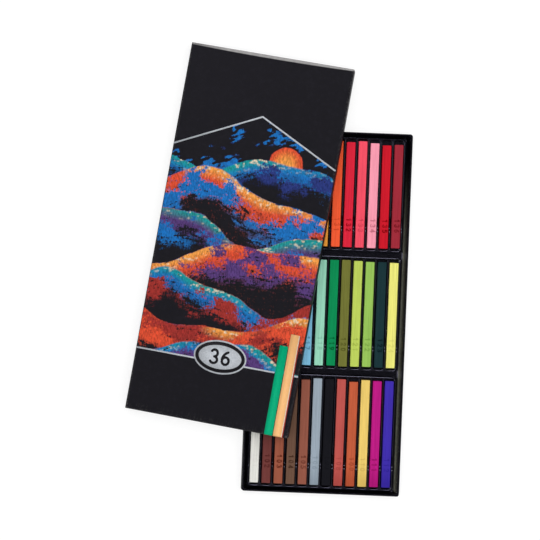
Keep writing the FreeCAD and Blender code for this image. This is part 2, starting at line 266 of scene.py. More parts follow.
@dataclass
class Course:
    """A closed row of stations round a rounded rectangle, anticlockwise from the near left corner.

    Each station is on one of four sides or four corners. On a side it keeps its place along the
    side, and in a corner it keeps its angle, so courses of different sizes match one to one.
    """

    x: Array
    y: Array
    part: Array
    angle: Array

    @classmethod
    def regular(cls, across: Array, along: Array) -> "Course":
        """Lay out a course with the same stations on opposite sides.

        Args:
            across: Places of the stations on the near and far sides, rising.
            along: Places of the stations on the left and right sides, rising.

        Returns:
            The course.
        """
        turn = np.linspace(0, math.pi / 2, ARC)
        none = np.zeros(ARC)
        rows = [
            (none, none, Part.NEAR_LEFT, turn + math.pi),
            (across, 0 * across, Part.NEAR, 0 * across),
            (none, none, Part.NEAR_RIGHT, turn + 1.5 * math.pi),
            (0 * along, along, Part.RIGHT, 0 * along),
            (none, none, Part.FAR_RIGHT, turn),
            (across[::-1], 0 * across, Part.FAR, 0 * across),
            (none, none, Part.FAR_LEFT, turn + math.pi / 2),
            (0 * along, along[::-1], Part.LEFT, 0 * along),
        ]
        parts = np.concatenate([np.full(len(x), part) for x, _, part, _ in rows])
        x, y, angle = (np.concatenate([row[i] for row in rows]) for i in (0, 1, 3))
        return cls(x, y, parts, angle)

    def on(self, *parts: Part) -> Array:
        """Which stations are on these parts."""
        return np.isin(self.part, parts)

    def outline(self, box: Box, rx: Array | float, ry: Array | float | None = None) -> Array:
        """Place the stations on a rectangle with round corners.

        Args:
            box: The rectangle's west, south, east and north sides.
            rx: The corners' radius across.
            ry: Their radius along, where it differs.

        Returns:
            An array of shape (N, 2).
        """
        ry = rx if ry is None else ry
        west, south, east, north = box
        x = np.select([self.on(Part.RIGHT), self.on(Part.LEFT)], [east, west], self.x)
        y = np.select([self.on(Part.NEAR), self.on(Part.FAR)], [south, north], self.y)
        cx = np.where(self.on(*RIGHT_CORNERS), east - rx, west + rx)
        cy = np.where(self.on(*FAR_CORNERS), north - ry, south + ry)
        corner = self.on(*CORNERS)
        x = np.where(corner, cx + rx * np.cos(self.angle), x)
        y = np.where(corner, cy + ry * np.sin(self.angle), y)
        return np.stack([x, y], 1)

    def square(self, box: Box, inner: Array) -> Array:
        """Place the stations on a rectangle with sharp corners, straight out from an inner loop.

        Args:
            box: The rectangle's west, south, east and north sides.
            inner: The loop that the corner stations are carried out from, of shape (N, 2).

        Returns:
            An array of shape (N, 2).
        """
        west, south, east, north = box
        c, s = np.cos(self.angle), np.sin(self.angle)
        corner, tie = self.on(*CORNERS), 1e-6
        side_x = corner & (np.abs(c) >= np.abs(s) - tie)
        side_y = corner & (np.abs(s) >= np.abs(c) - tie)
        x_cases = [self.on(Part.RIGHT), self.on(Part.LEFT), side_x & (c > 0), side_x]
        y_cases = [self.on(Part.NEAR), self.on(Part.FAR), side_y & (s > 0), side_y]
        x = np.select(x_cases, [east, west, east, west], inner[:, 0])
        y = np.select(y_cases, [south, north, north, south], inner[:, 1])
        return np.stack([x, y], 1)

    def run(self, side: Part, skip: int = 0, keep: int = ARC) -> Array:
        """A side's stations, after the last ones of the corner before it and with some of the next."""
        parts = (CORNERS[side], side, CORNERS[(side + 1) % 4])
        before, middle, after = (np.flatnonzero(self.on(part)) for part in parts)
        return np.concatenate([before[skip:], middle, after[:keep]])

    def follow(
        self, route: list[tuple[int, Array]], ends: tuple[int, ...], sides: tuple[Part, ...]
    ) -> tuple[Array, Array, Array, Array]:
        """Walk round a block of courses, where most courses' corners lie on the block's sides.

        Args:
            route: Which course of the block comes next, and the stations picked from it.
            ends: For each of CORNERS, the course that has it as the block's own corner.
            sides: For each of CORNERS, the side that it belongs to on every other course.

        Returns:
            For each station of the walk: its course, its index there, its part and its angle.
        """
        block = np.concatenate([np.full(len(picked), place) for place, picked in route])
        index = np.concatenate([picked for _, picked in route])
        part = self.part[index].copy()
        for corner, end, side in zip(CORNERS, ends, sides):
            part[(part == corner) & (block != end)] = side
        return block, index, part, self.angle[index]


def raised(outline: Array, height: Array | float) -> Array:
    """Give an outline (N, 2) its height and return points (N, 3)."""
    return np.concatenate([outline, np.broadcast_to(height, outline.shape[:1])[:, None]], 1)


class Wiring:
    """Short calls for the nodes that this scene uses, in one node tree."""

    def __init__(self, tree: bpy.types.NodeTree) -> None:
        """Work in this tree.

        Args:
            tree: A material's or a world's node tree.
        """
        self.tree = tree
        self.nodes = tree.nodes

    def join(self, output: object, node: object, socket: int | str) -> None:
        """Link an output to a node's input."""
        self.tree.links.new(output, node.inputs[socket])

    def feed(self, node: object, values: dict[int | str, Value]) -> None:
        """Give each of a node's inputs an output to read, or a fixed value."""
        for key, value in values.items():
            if isinstance(value, bpy.types.NodeSocket):
                self.join(value, node, key)
            else:
                node.inputs[key].default_value = value

    def ramp(self, value: object, stops: list[tuple[float, float]]) -> object:
        """Map a value through grey stops, in straight lines."""
        node = self.nodes.new("ShaderNodeValToRGB")
        elements = node.color_ramp.elements
        elements[0].position, elements[1].position = stops[0][0], stops[-1][0]
        for position, _ in stops[1:-1]:
            elements.new(position)
        for element, (_, level) in zip(elements, stops):
            element.color = (level, level, level, 1)
        self.join(value, node, "Fac")
        return node.outputs["Color"]

    def rise(
        self, value: object, start: float, end: float, low: float = 0.0, high: float = 1.0
    ) -> object:
        """Map a value in a straight line: low at the start and high at the end, level beyond."""
        return self.ramp(value, [(start, low), (end, high)])

    def mix(self, factor: Value, a: Value, b: Value, kind: str = "MIX") -> object:
        """Mix two colours, each an output or a fixed colour."""
        node = self.nodes.new("ShaderNodeMix")
        node.data_type, node.blend_type = "RGBA", kind
        self.feed(node, {0: factor, 6: a, 7: b})
        return node.outputs[2]

    def mix_value(self, factor: Value, a: Value, b: Value) -> object:
        """Mix two numbers."""
        node = self.nodes.new("ShaderNodeMix")
        self.feed(node, {0: factor, 2: a, 3: b})
        return node.outputs[0]

    def scaled(self, value: Value, gain: Value, plus: Value = 0.0) -> object:
        """Multiply a number and add to it."""
        node = self.nodes.new("ShaderNodeMath")
        node.operation = "MULTIPLY_ADD"
        self.feed(node, {0: value, 1: gain, 2: plus})
        return node.outputs[0]


class Shader(Wiring):
    """A Principled material and the places and values that its nodes read."""

    def __init__(self, name: str) -> None:
        """Start a material with one Principled shader."""
        self.material = bpy.data.materials.new(name)
        self.material.use_nodes = True
        super().__init__(self.material.node_tree)
        self.shader = self.nodes["Principled BSDF"]
        self.coordinates = self.nodes.new("ShaderNodeTexCoord")

    def even(self, specular: float, roughness: float | None = None) -> None:
        """Set an even specular level, and an even roughness if one is given, on the sockets."""
        self.shader.inputs["Specular IOR Level"].default_value = specular
        if roughness is not None:
            self.shader.inputs["Roughness"].default_value = roughness

    def link(self, output: object, socket: str) -> None:
        """Link an output to the Principled shader."""
        self.tree.links.new(output, self.shader.inputs[socket])

    def place(self, scale: tuple = (1, 1, 1), turn: tuple = (0, 0, 0)) -> object:
        """Object coordinates in metres through a Mapping node."""
        node = self.nodes.new("ShaderNodeMapping")
        source = self.coordinates.outputs["Object"]
        self.feed(node, {"Vector": source, "Scale": scale, "Rotation": turn})
        return node.outputs[0]

    def noise(
        self, place: object, scale: float, detail: float, rough: float, warp: float = 0.0
    ) -> object:
        """Fractal noise over a place, with this many cells to the metre."""
        node = self.nodes.new("ShaderNodeTexNoise")
        self.feed(node, {"Vector": place, "Scale": scale, "Detail": detail})
        self.feed(node, {"Roughness": rough, "Distortion": warp})
        return node.outputs["Fac"]

    def attribute(self, name: str, part: str = "Fac") -> object:
        """Read a value that the mesh carries."""
        node = self.nodes.new("ShaderNodeAttribute")
        node.attribute_name = name
        return node.outputs[part]

    def bump(self, height: object, strength: float, distance: float) -> None:
        """Give the shader's normal a bump of this depth in metres."""
        node = self.nodes.new("ShaderNodeBump")
        self.feed(node, {"Strength": strength, "Distance": distance, "Height": height})
        self.link(node.outputs[0], "Normal")


class Finish:
    """A surface finish, which wires its nodes into a fresh material."""

    def wire(self, m: Shader) -> None:
        """Wire the finish into the material's shader."""
        raise NotImplementedError

    def material(self, name: str) -> bpy.types.Material:
        """Build the material under this name."""
        m = Shader(name)
        self.wire(m)
        return m.material


@dataclass(frozen=True)
class MouldedBlack(Finish):
    """Thin black formed plastic: glossy with a faint ripple, matt on its skirt, with a painted
    highlight in one groove.
    """

    colour: Colour = (7, 7, 11)
    sheen: Colour = (222, 220, 255)
    # Colour of the painted highlight: a pale strip painted into the cove on the right, standing in for
    # light reflected there.
    dust: Colour = (152, 152, 136)
    roughness: float = 0.13
    skirt_roughness: float = 0.7
    specular: float = 0.8
    skirt_specular: float = 0.08
    ripple: float = 0.04

    def wire(self, m: Shader) -> None:
        """Glossy with a faint ripple, by noise; the mesh says where it is matt and where the painted
        highlight lies.
        """
        m.shader.inputs["Specular Tint"].default_value = linear(self.sheen)
        place = m.place()
        dull = m.noise(place, 90, 3, 0.6)
        fine = m.noise(place, 700, 2, 0.5)
        wide = m.noise(place, 60, 1, 0.5)
        gloss = m.rise(dull, 0.35, 0.75, self.roughness, self.roughness + 0.09)
        skirt = m.attribute("skirt")
        m.link(m.mix_value(skirt, gloss, self.skirt_roughness), "Roughness")
        m.link(m.mix_value(skirt, self.specular, self.skirt_specular), "Specular IOR Level")
        # Painted highlight: the pale strip in the right-hand cove, broken up by fine noise.
        highlight_amount = m.scaled(m.attribute("dust"), m.rise(fine, 0.3, 0.7, 0.6, 1.0))
        m.link(m.mix(highlight_amount, linear(self.colour), linear(self.dust)), "Base Color")
        m.bump(m.mix_value(0.15, wide, fine), self.ripple, 0.0004)


@dataclass
class FormedTray:
    """The black formed tray: three pads of twelve slots in a basin, with a rim and a skirt."""

    columns: int = 12
    rows: int = 3
    sheet: float = 0.45
    lip: float = 0.47
    foot_gap: float = 0.05
    slot_width: float = 9.0
    slot_length: float = 96.5
    slot_corner: float = 2.4
    slot_lean: float = 0.3
    slot_floor: float = 3.6
    slot_foot: float = 0.3
    slot_land: float = 0.6
    rib: float = 1.43
    side_rim: float = 1.2
    end_rim: float = 1.1
    pad_height: float = 9.6
    pad_corner: float = 3.6
    pad_lean: float = 0.3
    pad_foot: tuple[tuple[float, float], ...] = ((0.27, 0.35), (0.37, 0.10), (0.62, 0.0))
    pad_margins: tuple[float, float, float] = (0.75, 0.64, 0.68)
    trough: float = 4.5
    scoop_middle: float = 22.9
    scoop_floor: float = 3.0
    scoop_top: float = 6.5
    scoop_depth: float = 3.4
    scoop_steps: tuple[float, ...] = (0, 1.3, 2.6, 3.4, 4.1, 4.8, 5.5, 6.2, 7.0)
    level_steps: tuple[float, ...] = (-41, -37, -10, 3, 16, 29, 39)
    grooves: tuple[float, float, float, float] = (0.95, 0.8, 2.55, 0.8)
    height: float = 14.2
    basin_corners: tuple[float, float] = (2.3, 3.2)
    basin_lean: float = 1.7
    rim: float = 1.2
    rim_sink: float = 0.06
    rim_rounds: tuple[float, float] = (0.5, 0.45)
    skirt_lean: float = 1.3
    skirt_corners: tuple[float, float] = (1.8, 2.4)
    foot_round: float = 0.4
    right_cove: float = 2.2
    skirt_loops: tuple[float, float] = (9.5, 7.5)
    # Where the painted highlight lies: out from the basin's right side, up the cove, and along the
    # tray.
    dust_out: tuple[float, float] = (-1.3, -0.4)
    dust_up: tuple[float, float] = (2.0, 5.5)
    dust_along_shares: tuple[float, float] = (0.2, 0.9)
    finish: MouldedBlack = field(default_factory=MouldedBlack)

    def __post_init__(self) -> None:
        """Work out the places that the forms share, from the tray's middle."""
        self.pitch = self.slot_width + self.rib
        ribs = (self.columns - 1) * self.rib
        self.pad_width = self.columns * self.slot_width + ribs + 2 * self.side_rim
        self.pad_length = self.slot_length + 2 * self.end_rim
        self.row_pitch = self.pad_length + 2 * self.pad_lean + self.trough
        left, near, right, far = self.grooves
        basin_x = left + 2 * self.pad_lean + self.pad_width + right
        basin_y = near + 2 * self.row_pitch + 2 * self.pad_lean + self.pad_length + far
        self.basin = (-basin_x / 2, -basin_y / 2, basin_x / 2, basin_y / 2)
        self.pad_west = self.basin[0] + left + self.pad_lean
        self.pad_south = self.basin[1] + near + self.pad_lean

    def top(self, y: Array) -> Array:
        """Height of the pad's top at y, from the slot's near end: level but for the scoop."""
        away = np.abs(y - self.scoop_middle)
        return self.pad_height - self.scoop_depth * (1 - smooth(self.scoop_floor, self.scoop_top, away))

    def slot_profile(self) -> Array:
        """Rows of (offset from the mouth, share of the height) down a slot's wall to its floor."""
        deep = self.pad_height - self.slot_floor
        lip = fillet(0, deep, self.lip, True, 3)
        foot = fillet(-self.slot_lean * 0.95, 0, self.slot_foot, False, 2)
        return np.concatenate([lip, foot]) / (1, deep)

    def cells(self) -> tuple[Course, Array]:
        """Every slot's loops, from the middle of its ribs down to its floor.

        A slot is a family of rounded rectangles round one middle. The profile gives each its
        offset and its share of the height, which the scoop lowers where it crosses a rib.

        Returns:
            The slots' course, and points of shape (rows, columns, loops, stations, 3).
        """
        half_x, half_y = self.slot_width / 2, self.slot_length / 2
        steps = np.array(self.scoop_steps)
        middle = self.scoop_middle - half_y
        along = np.concatenate([middle - steps[:0:-1], middle + steps, self.level_steps])
        course = Course.regular(np.array([0.0]), np.sort(along))
        mouth = course.outline(about(half_x, half_y), self.slot_corner)
        sides = course.on(Part.RIGHT, Part.LEFT)
        top = np.where(sides, self.top(course.y + half_y), self.pad_height)
        edge_x, edge_y = self.pitch / 2, half_y + self.slot_land
        loops = [raised(course.square(about(edge_x, edge_y), mouth), top)]
        for offset, share in self.slot_profile():
            r = self.slot_corner + (offset if offset > 0 else min(0, offset + self.slot_lean))
            ring = course.outline(about(half_x + offset, half_y + offset), r)
            loops.append(raised(ring, self.slot_floor + (top - self.slot_floor) * share))
        one = np.stack(loops)
        west, south = self.pad_west + self.side_rim + half_x, self.pad_south + self.end_rim + half_y
        shift = np.zeros((self.rows, self.columns, 1, 1, 3))
        shift[..., 0] = (west + np.arange(self.columns) * self.pitch)[None, :, None, None]
        shift[..., 1] = (south + np.arange(self.rows) * self.row_pitch)[:, None, None, None]
        cells = one + shift
        rx, ry = edge_x - half_x + self.slot_corner, edge_y - half_y + self.slot_corner
        outer = raised(course.outline(about(edge_x, edge_y), rx, ry), top)
        for column, parts in ((0, LEFT_CORNERS), (self.columns - 1, RIGHT_CORNERS)):
            mask = course.on(*parts)
            cells[:, column, 0, mask] = (outer + shift[:, column, 0])[:, mask]
        return course, cells

    def field_edge(self, course: Course, cells: Array) -> tuple[Course, Array]:
        """The stations round the outside of a row of slots, read from the slots' outer loops."""
        last = self.columns - 1
        near, far = [], []
        for column in range(self.columns):
            west, east = column == 0, column == last
            near.append((column, course.run(Part.NEAR, 0 if west else INNER, ARC if east else INNER)))
            far.append((column, course.run(Part.FAR, 0 if east else INNER, ARC if west else INNER)))
        right, left = (course.run(part, ARC, 0) for part in (Part.RIGHT, Part.LEFT))
        route = near + [(last, right)] + far[::-1] + [(0, left)]
        sides = (Part.NEAR, Part.NEAR, Part.FAR, Part.FAR)
        columns, index, part, angle = course.follow(route, (0, last, last, 0), sides)
        points = cells[:, columns, 0, index]
        return Course(points[0, :, 0], points[0, :, 1], part, angle), points

    def pads(self, course: Course, edge: Array) -> Array:
        """Each pad's loops, from the edge of its slots out over its rim and down to the basin.

        Args:
            course: The stations round a row of slots.
            edge: Their points, of shape (rows, stations, 3).

        Returns:
            Points of shape (rows, loops, stations, 3).
        """
        w, s = self.pad_west, self.pad_south
        e, n = w + self.pad_width, s + self.pad_length
        deep = self.pad_height - self.sheet
        turn = np.linspace(0, math.pi / 2, 4)
        wall = np.stack([self.lip * (np.sin(turn) - 1), deep - self.lip * (1 - np.cos(turn))], 1)
        sides = course.on(Part.RIGHT, Part.LEFT)
        level = np.where(sides, self.top(course.y - s - self.end_rim), self.pad_height)
        share = (level - self.sheet) / deep
        loops = []
        for offset, height in np.concatenate([wall, self.pad_foot]):
            r = self.pad_corner + (offset if offset < 0 else max(0, offset - self.pad_lean))
            ring = course.outline(grown((w, s, e, n), offset), r)
            loops.append(raised(ring, self.sheet + height * share))
        inner = loops[-1][:, :2]
        half, centre = self.pad_lean + self.trough / 2, self.pad_corner - self.pad_lean
        top = self.rows - 1
        left, right, end = self.pad_margins
        rx = centre + np.where(course.on(*RIGHT_CORNERS), right, left)
        rows = []
        for row in range(self.rows):
            below, above = (end if row == 0 else half), (end if row == top else half)
            box = (w - left, s - below, e + right, n + above)
            outer = course.square(box, inner)
            ends = ((below, NEAR_CORNERS, row == 0), (above, FAR_CORNERS, row == top))
            for margin, corners, last in ends:
                rounded = course.outline(box, rx, centre + margin)
                outer = np.where(course.on(*corners)[:, None] & last, rounded, outer)
            stack = np.stack(loops + [raised(outer, self.sheet)])
            rows.append(stack + (0, row * self.row_pitch, 0))
        pads = np.stack(rows)
        return np.concatenate([edge[:, None], pads], axis=1)

    def basin_edge(self, course: Course, outer: Array) -> tuple[Course, Array]:
        """The stations round all three pads' blocks, read from the pads' outermost loops.

        Args:
            course: The stations round one pad.
            outer: The pads' outermost loops, of shape (rows, stations, 3).

        Returns:
            The joint course and its points, of shape (stations, 3).
        """
        top = self.rows - 1
        route = [(0, course.run(Part.NEAR, keep=0))]
        for row in range(self.rows):
            skip, keep = 0 if row == 0 else INNER, ARC if row == top else INNER
            route.append((row, course.run(Part.RIGHT, skip, keep)))
        route.append((top, course.run(Part.FAR, ARC, 0)))
        for row in range(top, -1, -1):
            skip, keep = 0 if row == top else INNER, 0 if row == 0 else INNER
            route.append((row, course.run(Part.LEFT, skip, keep)))
        sides = (Part.LEFT, Part.RIGHT, Part.RIGHT, Part.LEFT)
        rows, index, part, angle = course.follow(route, (0, 0, top, top), sides)
        points = outer[rows, index]
        return Course(points[:, 0], points[:, 1], part, angle), points

    def shell(self, course: Course, edge: Array) -> Array:
        """The basin's sloping wall, the rim and the skirt, as loops round the whole tray.

        The wall's foot is a quarter-round, small on three sides and a wide cove on the right, and
        its height passes from one to the other by the cosine of the angle round the corners.

        Args:
            course: The stations round the pads' blocks.
            edge: Their points.

        Returns:
            Points of shape (loops, stations, 3).
        """
        low, high = self.sheet, self.height
        out = self.basin_lean + self.rim
        r0, r1 = self.basin_corners
        s1, s0 = self.skirt_corners
        w, s, e, n = self.basin
        right = course.on(*RIGHT_CORNERS)
        share = np.where(right, np.abs(np.cos(course.angle)), course.on(Part.RIGHT))
        slope = self.basin_lean / (high - low)
        loops = [edge]
        for turn in np.radians((0, 15, 30, 45, 60, 75, 90)):
            inset, rise = 1 - math.sin(turn) - slope * (1 - math.cos(turn)), 1 - math.cos(turn)
            near, far = self.foot_round * inset, self.right_cove * inset
            rx = r0 - np.where(right, far, near)
            ring = course.outline((w + near, s + near, e - far, n - near), rx, r0 - near)
            level = (self.foot_round + (self.right_cove - self.foot_round) * share) * rise
            loops.append(raised(ring, low + level))
        wall_top, (inner, outer) = self.basin_lean - self.rim_sink, self.rim_rounds
        turns = [(math.sin(turn), math.cos(turn)) for turn in np.radians((0, 30, 60, 90))]
        rows = [(wall_top + inner * (1 - cos), high - inner + inner * sin, r1) for sin, cos in turns]
        rows += [(out - outer + outer * sin, high - outer + outer * cos, s1) for sin, cos in turns]
        rows += [(out + self.skirt_lean, self.foot_gap, s0)]
        for offset, height, r in rows:
            loops.append(raised(course.outline(grown(self.basin, offset), r), height))
        return np.stack(loops)

    def coats(self, course: Course, shell: Array) -> dict[str, Array]:
        """How matt each point of the shell is, and how much painted highlight it carries.

        The painted highlight lies along the foot of the wall on the right, from the cove's upper half
        to a third of the wall's height, and thins out towards the tray's far end.
        """
        left = len(shell) - np.arange(len(shell))[:, None]
        matt, glossy = self.skirt_loops
        skirt = smooth(matt, glossy, left) + 0 * shell[..., 0]
        out = smooth(*self.dust_out, shell[..., 0] - self.basin[2])
        low = 1 - smooth(*self.dust_up, shell[..., 2])
        near = 1 - smooth(*self.dust_along_shares, shell[..., 1] / self.basin[3])
        inner = (left > matt) & ~course.on(Part.NEAR, Part.FAR)
        return {"skirt": skirt, "dust": out * low * near * inner}

    def build(self) -> bpy.types.Object:
        """Put the slots, pads and shell together as one formed sheet of even thickness."""
        slots, cells = self.cells()
        pad_course, edge = self.field_edge(slots, cells)
        pads = self.pads(pad_course, edge)
        basin_course, joint = self.basin_edge(pad_course, pads[:, -1])
        shell = self.shell(basin_course, joint)
        draft = Draft()
        index = draft.add_points(cells)
        draft.add_quads(index, closed=True)
        draft.add_cap(index[:, :, -1])
        draft.add_quads(draft.add_points(pads), closed=True, flip=True)
        coats = self.coats(basin_course, shell)
        draft.add_quads(draft.add_points(shell, **coats), closed=True, flip=True)
        tray = draft.to_object("formed_tray", self.finish.material("formed_black_plastic"))
        solid = tray.modifiers.new("sheet", "SOLIDIFY")
        solid.thickness, solid.offset, solid.use_even_offset = self.sheet * MM, -1, True
        even = tray.modifiers.new("even_light", "WEIGHTED_NORMAL")
        even.keep_sharp = False
        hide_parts("tray")
        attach(tray, "tray")
        return tray


class Pastel(Enum):
    """The set in its order: each colour as a screen shows it, and how much its number shows."""

    WHITE = (221, 220, 214), 0.08
    PLUM_BROWN = (110, 58, 55), 0.75
    TERRACOTTA = (152, 85, 65), 1.0
    UMBER = (107, 79, 64), 1.0
    CHESTNUT = (144, 85, 69), 0.85
    BLUE_GREY = (151, 164, 176), 0.3
    BLACK = (22, 22, 27), 0.3
    BRICK_RED = (186, 84, 78), 0.35
    RUST = (191, 91, 60), 0.5
    OCHRE = (232, 199, 108), 0.25
    MAGENTA = (184, 28, 128), 0.7
    VIOLET = (62, 46, 166), 0.4
    LILAC = (184, 158, 214), 0.7
    NAVY = (26, 36, 92), 0.7
    COBALT = (26, 70, 166), 0.7
    AZURE = (42, 132, 204), 0.7
    LIGHT_BLUE = (130, 194, 226), 0.7
    MINT = (151, 214, 187), 0.3
    GREEN = (14, 138, 82), 0.85
    OLIVE = (111, 113, 52), 0.7
    LIME = (184, 204, 91), 0.45
    LEAF_GREEN = (147, 189, 88), 0.45
    DARK_TEAL = (26, 50, 54), 1.0
    PALE_YELLOW = (232, 228, 122), 0.2
    SAND = (224, 198, 152), 0.7
    CREAM = (245, 232, 194), 0.7
    LEMON = (246, 238, 102), 0.7
    YELLOW = (248, 214, 42), 0.7
    GOLD = (244, 184, 36), 0.7
    AMBER = (240, 160, 62), 0.7
    ORANGE = (242, 92, 53), 0.45
    CRIMSON = (216, 38, 60), 0.95
    CORAL = (240, 80, 100), 0.4
    PINK = (249, 154, 174), 0.7
    RED = (199, 26, 42), 0.95
    MAROON = (156, 44, 57), 1.0


# Sticks whose near ends carry painted shade, darker towards the near end.
SHADED_NEAR_ENDS = (
    Pastel.BLUE_GREY, Pastel.BRICK_RED, Pastel.RUST, Pastel.OCHRE, Pastel.MAGENTA, Pastel.VIOLET
)


@dataclass(frozen=True)
class PressedChalk(Finish):
    """Dry pressed pigment: drag lines along the stick, fine grain, worn edges, and painted shade in its
    pressed numbers and at some near ends.
    """

    colour: Colour
    drag: float = 0.12
    rub: float = 0.07
    mark_shade: float = 0.36
    mark_power: float = 0.5
    roughness: float = 0.95
    specular: float = 0.05

    def shade(self, share: float) -> tuple[float, float, float, float]:
        """The stick's own colour, lighter or darker by this share of it."""
        return toned(self.colour, 1 + share)

    def deeper(self) -> tuple[float, float, float, float]:
        """The painted shade colour, for a pressed number and a shaded near end: darker, and most so in
        the channels that the colour has least of.
        """
        c = linear(self.colour)[:3]
        return tuple(part * self.mark_shade * (part / max(c)) ** self.mark_power for part in c) + (1.0,)

    def wire(self, m: Shader) -> None:
        """Drag lines and clouds by stretched noise; worn edges, and painted shade in numbers and near
        ends, by the mesh.
        """
        m.even(self.specular, self.roughness)
        drag = m.noise(m.place((1, 0.03, 1)), 1100, 3, 0.6)
        grain = m.noise(m.place(), 2600, 3, 0.7)
        cloud = m.noise(m.place((1, 0.3, 1)), 70, 3, 0.6)
        lines = m.rise(drag, 0.36, 0.64)
        colour = m.mix(lines, self.shade(-self.drag), self.shade(self.drag))
        colour = m.mix(m.rise(cloud, 0.42, 0.75, 0.0, 0.6), colour, self.shade(self.drag))
        worn = m.mix_value(m.attribute("wear"), 0.0, m.rise(grain, 0.42, 0.6, 0.2, 0.9))
        colour = m.mix(worn, colour, self.shade(self.rub))
        speck = m.rise(grain, 0.3, 0.42, 0.8, 1.0)
        colour = m.mix(1.0, colour, speck, "MULTIPLY")
        # Painted shade: the pressed numbers and some near ends darkened towards a deeper colour.
        colour = m.mix(m.attribute("mark"), colour, self.deeper())
        m.link(colour, "Base Color")
        m.bump(m.mix_value(0.55, drag, grain), 0.3, 0.00012)


@dataclass(frozen=True)
class Numerals:
    """Plain round-ended numerals, drawn as strokes in a cell 0.6 wide and 1 high.

    A stroke is a run of points. An arc is worked out from its middle, its two radii and its first
    and last angle.
    """

    steps: int = 12

    def arc(self, x: float, y: float, rx: float, ry: float, start: float, end: float) -> Array:
        """Points along an elliptical arc, its angles in degrees."""
        turn = np.radians(np.linspace(start, end, self.steps))
        return np.stack([x + rx * np.cos(turn), y + ry * np.sin(turn)], 1)

    def strokes(self, digit: str) -> list[Array]:
        """The strokes of one digit."""
        line = lambda *points: np.array(points, float)
        table = {
            "0": [self.arc(0.3, 0.5, 0.24, 0.46, 0, 360)],
            "1": [line((0.12, 0.78), (0.34, 0.96), (0.34, 0.04))],
            "2": [
                self.arc(0.29, 0.7, 0.23, 0.26, 165, -35),
                line((0.48, 0.55), (0.07, 0.04), (0.54, 0.04)),
            ],
            "3": [
                self.arc(0.28, 0.72, 0.22, 0.24, 150, -80),
                self.arc(0.28, 0.26, 0.25, 0.23, 85, -150),
            ],
            "4": [line((0.42, 0.04), (0.42, 0.96), (0.05, 0.3), (0.56, 0.3))],
            "5": [
                line((0.5, 0.96), (0.13, 0.96), (0.1, 0.54)),
                self.arc(0.27, 0.33, 0.26, 0.29, 130, -145),
            ],
            "6": [self.arc(0.3, 0.3, 0.24, 0.26, 0, 360), self.arc(0.62, 0.34, 0.56, 0.62, 178, 112)],
            "7": [line((0.06, 0.96), (0.54, 0.96), (0.2, 0.04))],
            "8": [self.arc(0.3, 0.74, 0.2, 0.22, 0, 360), self.arc(0.3, 0.27, 0.24, 0.24, 0, 360)],
            "9": [self.arc(0.3, 0.7, 0.24, 0.26, 0, 360), self.arc(-0.02, 0.66, 0.56, 0.62, -2, -68)],
        }
        return table[digit]

    def distance(self, text: str, u: Array, v: Array, advance: float) -> Array:
        """How far each place is from the nearest stroke of a number.

        Args:
            text: The number.
            u: Places along the number, from its first cell's left side.
            v: Places up it, from its foot.
            advance: From one cell to the next.

        Returns:
            The distances, in the cells' own units, in the shape of u.
        """
        starts, ends = [], []
        for place, digit in enumerate(text):
            for stroke in self.strokes(digit):
                stroke = stroke + (place * advance, 0)
                starts.append(stroke[:-1])
                ends.append(stroke[1:])
        a, b = np.concatenate(starts), np.concatenate(ends)
        spots = np.stack([u.ravel(), v.ravel()], 1)[:, None]
        run = (b - a)[None]
        share = ((spots - a) * run).sum(-1) / (run * run).sum(-1)
        nearest = a + np.clip(share, 0, 1)[..., None] * run
        return np.linalg.norm(spots - nearest, axis=-1).min(1).reshape(u.shape)


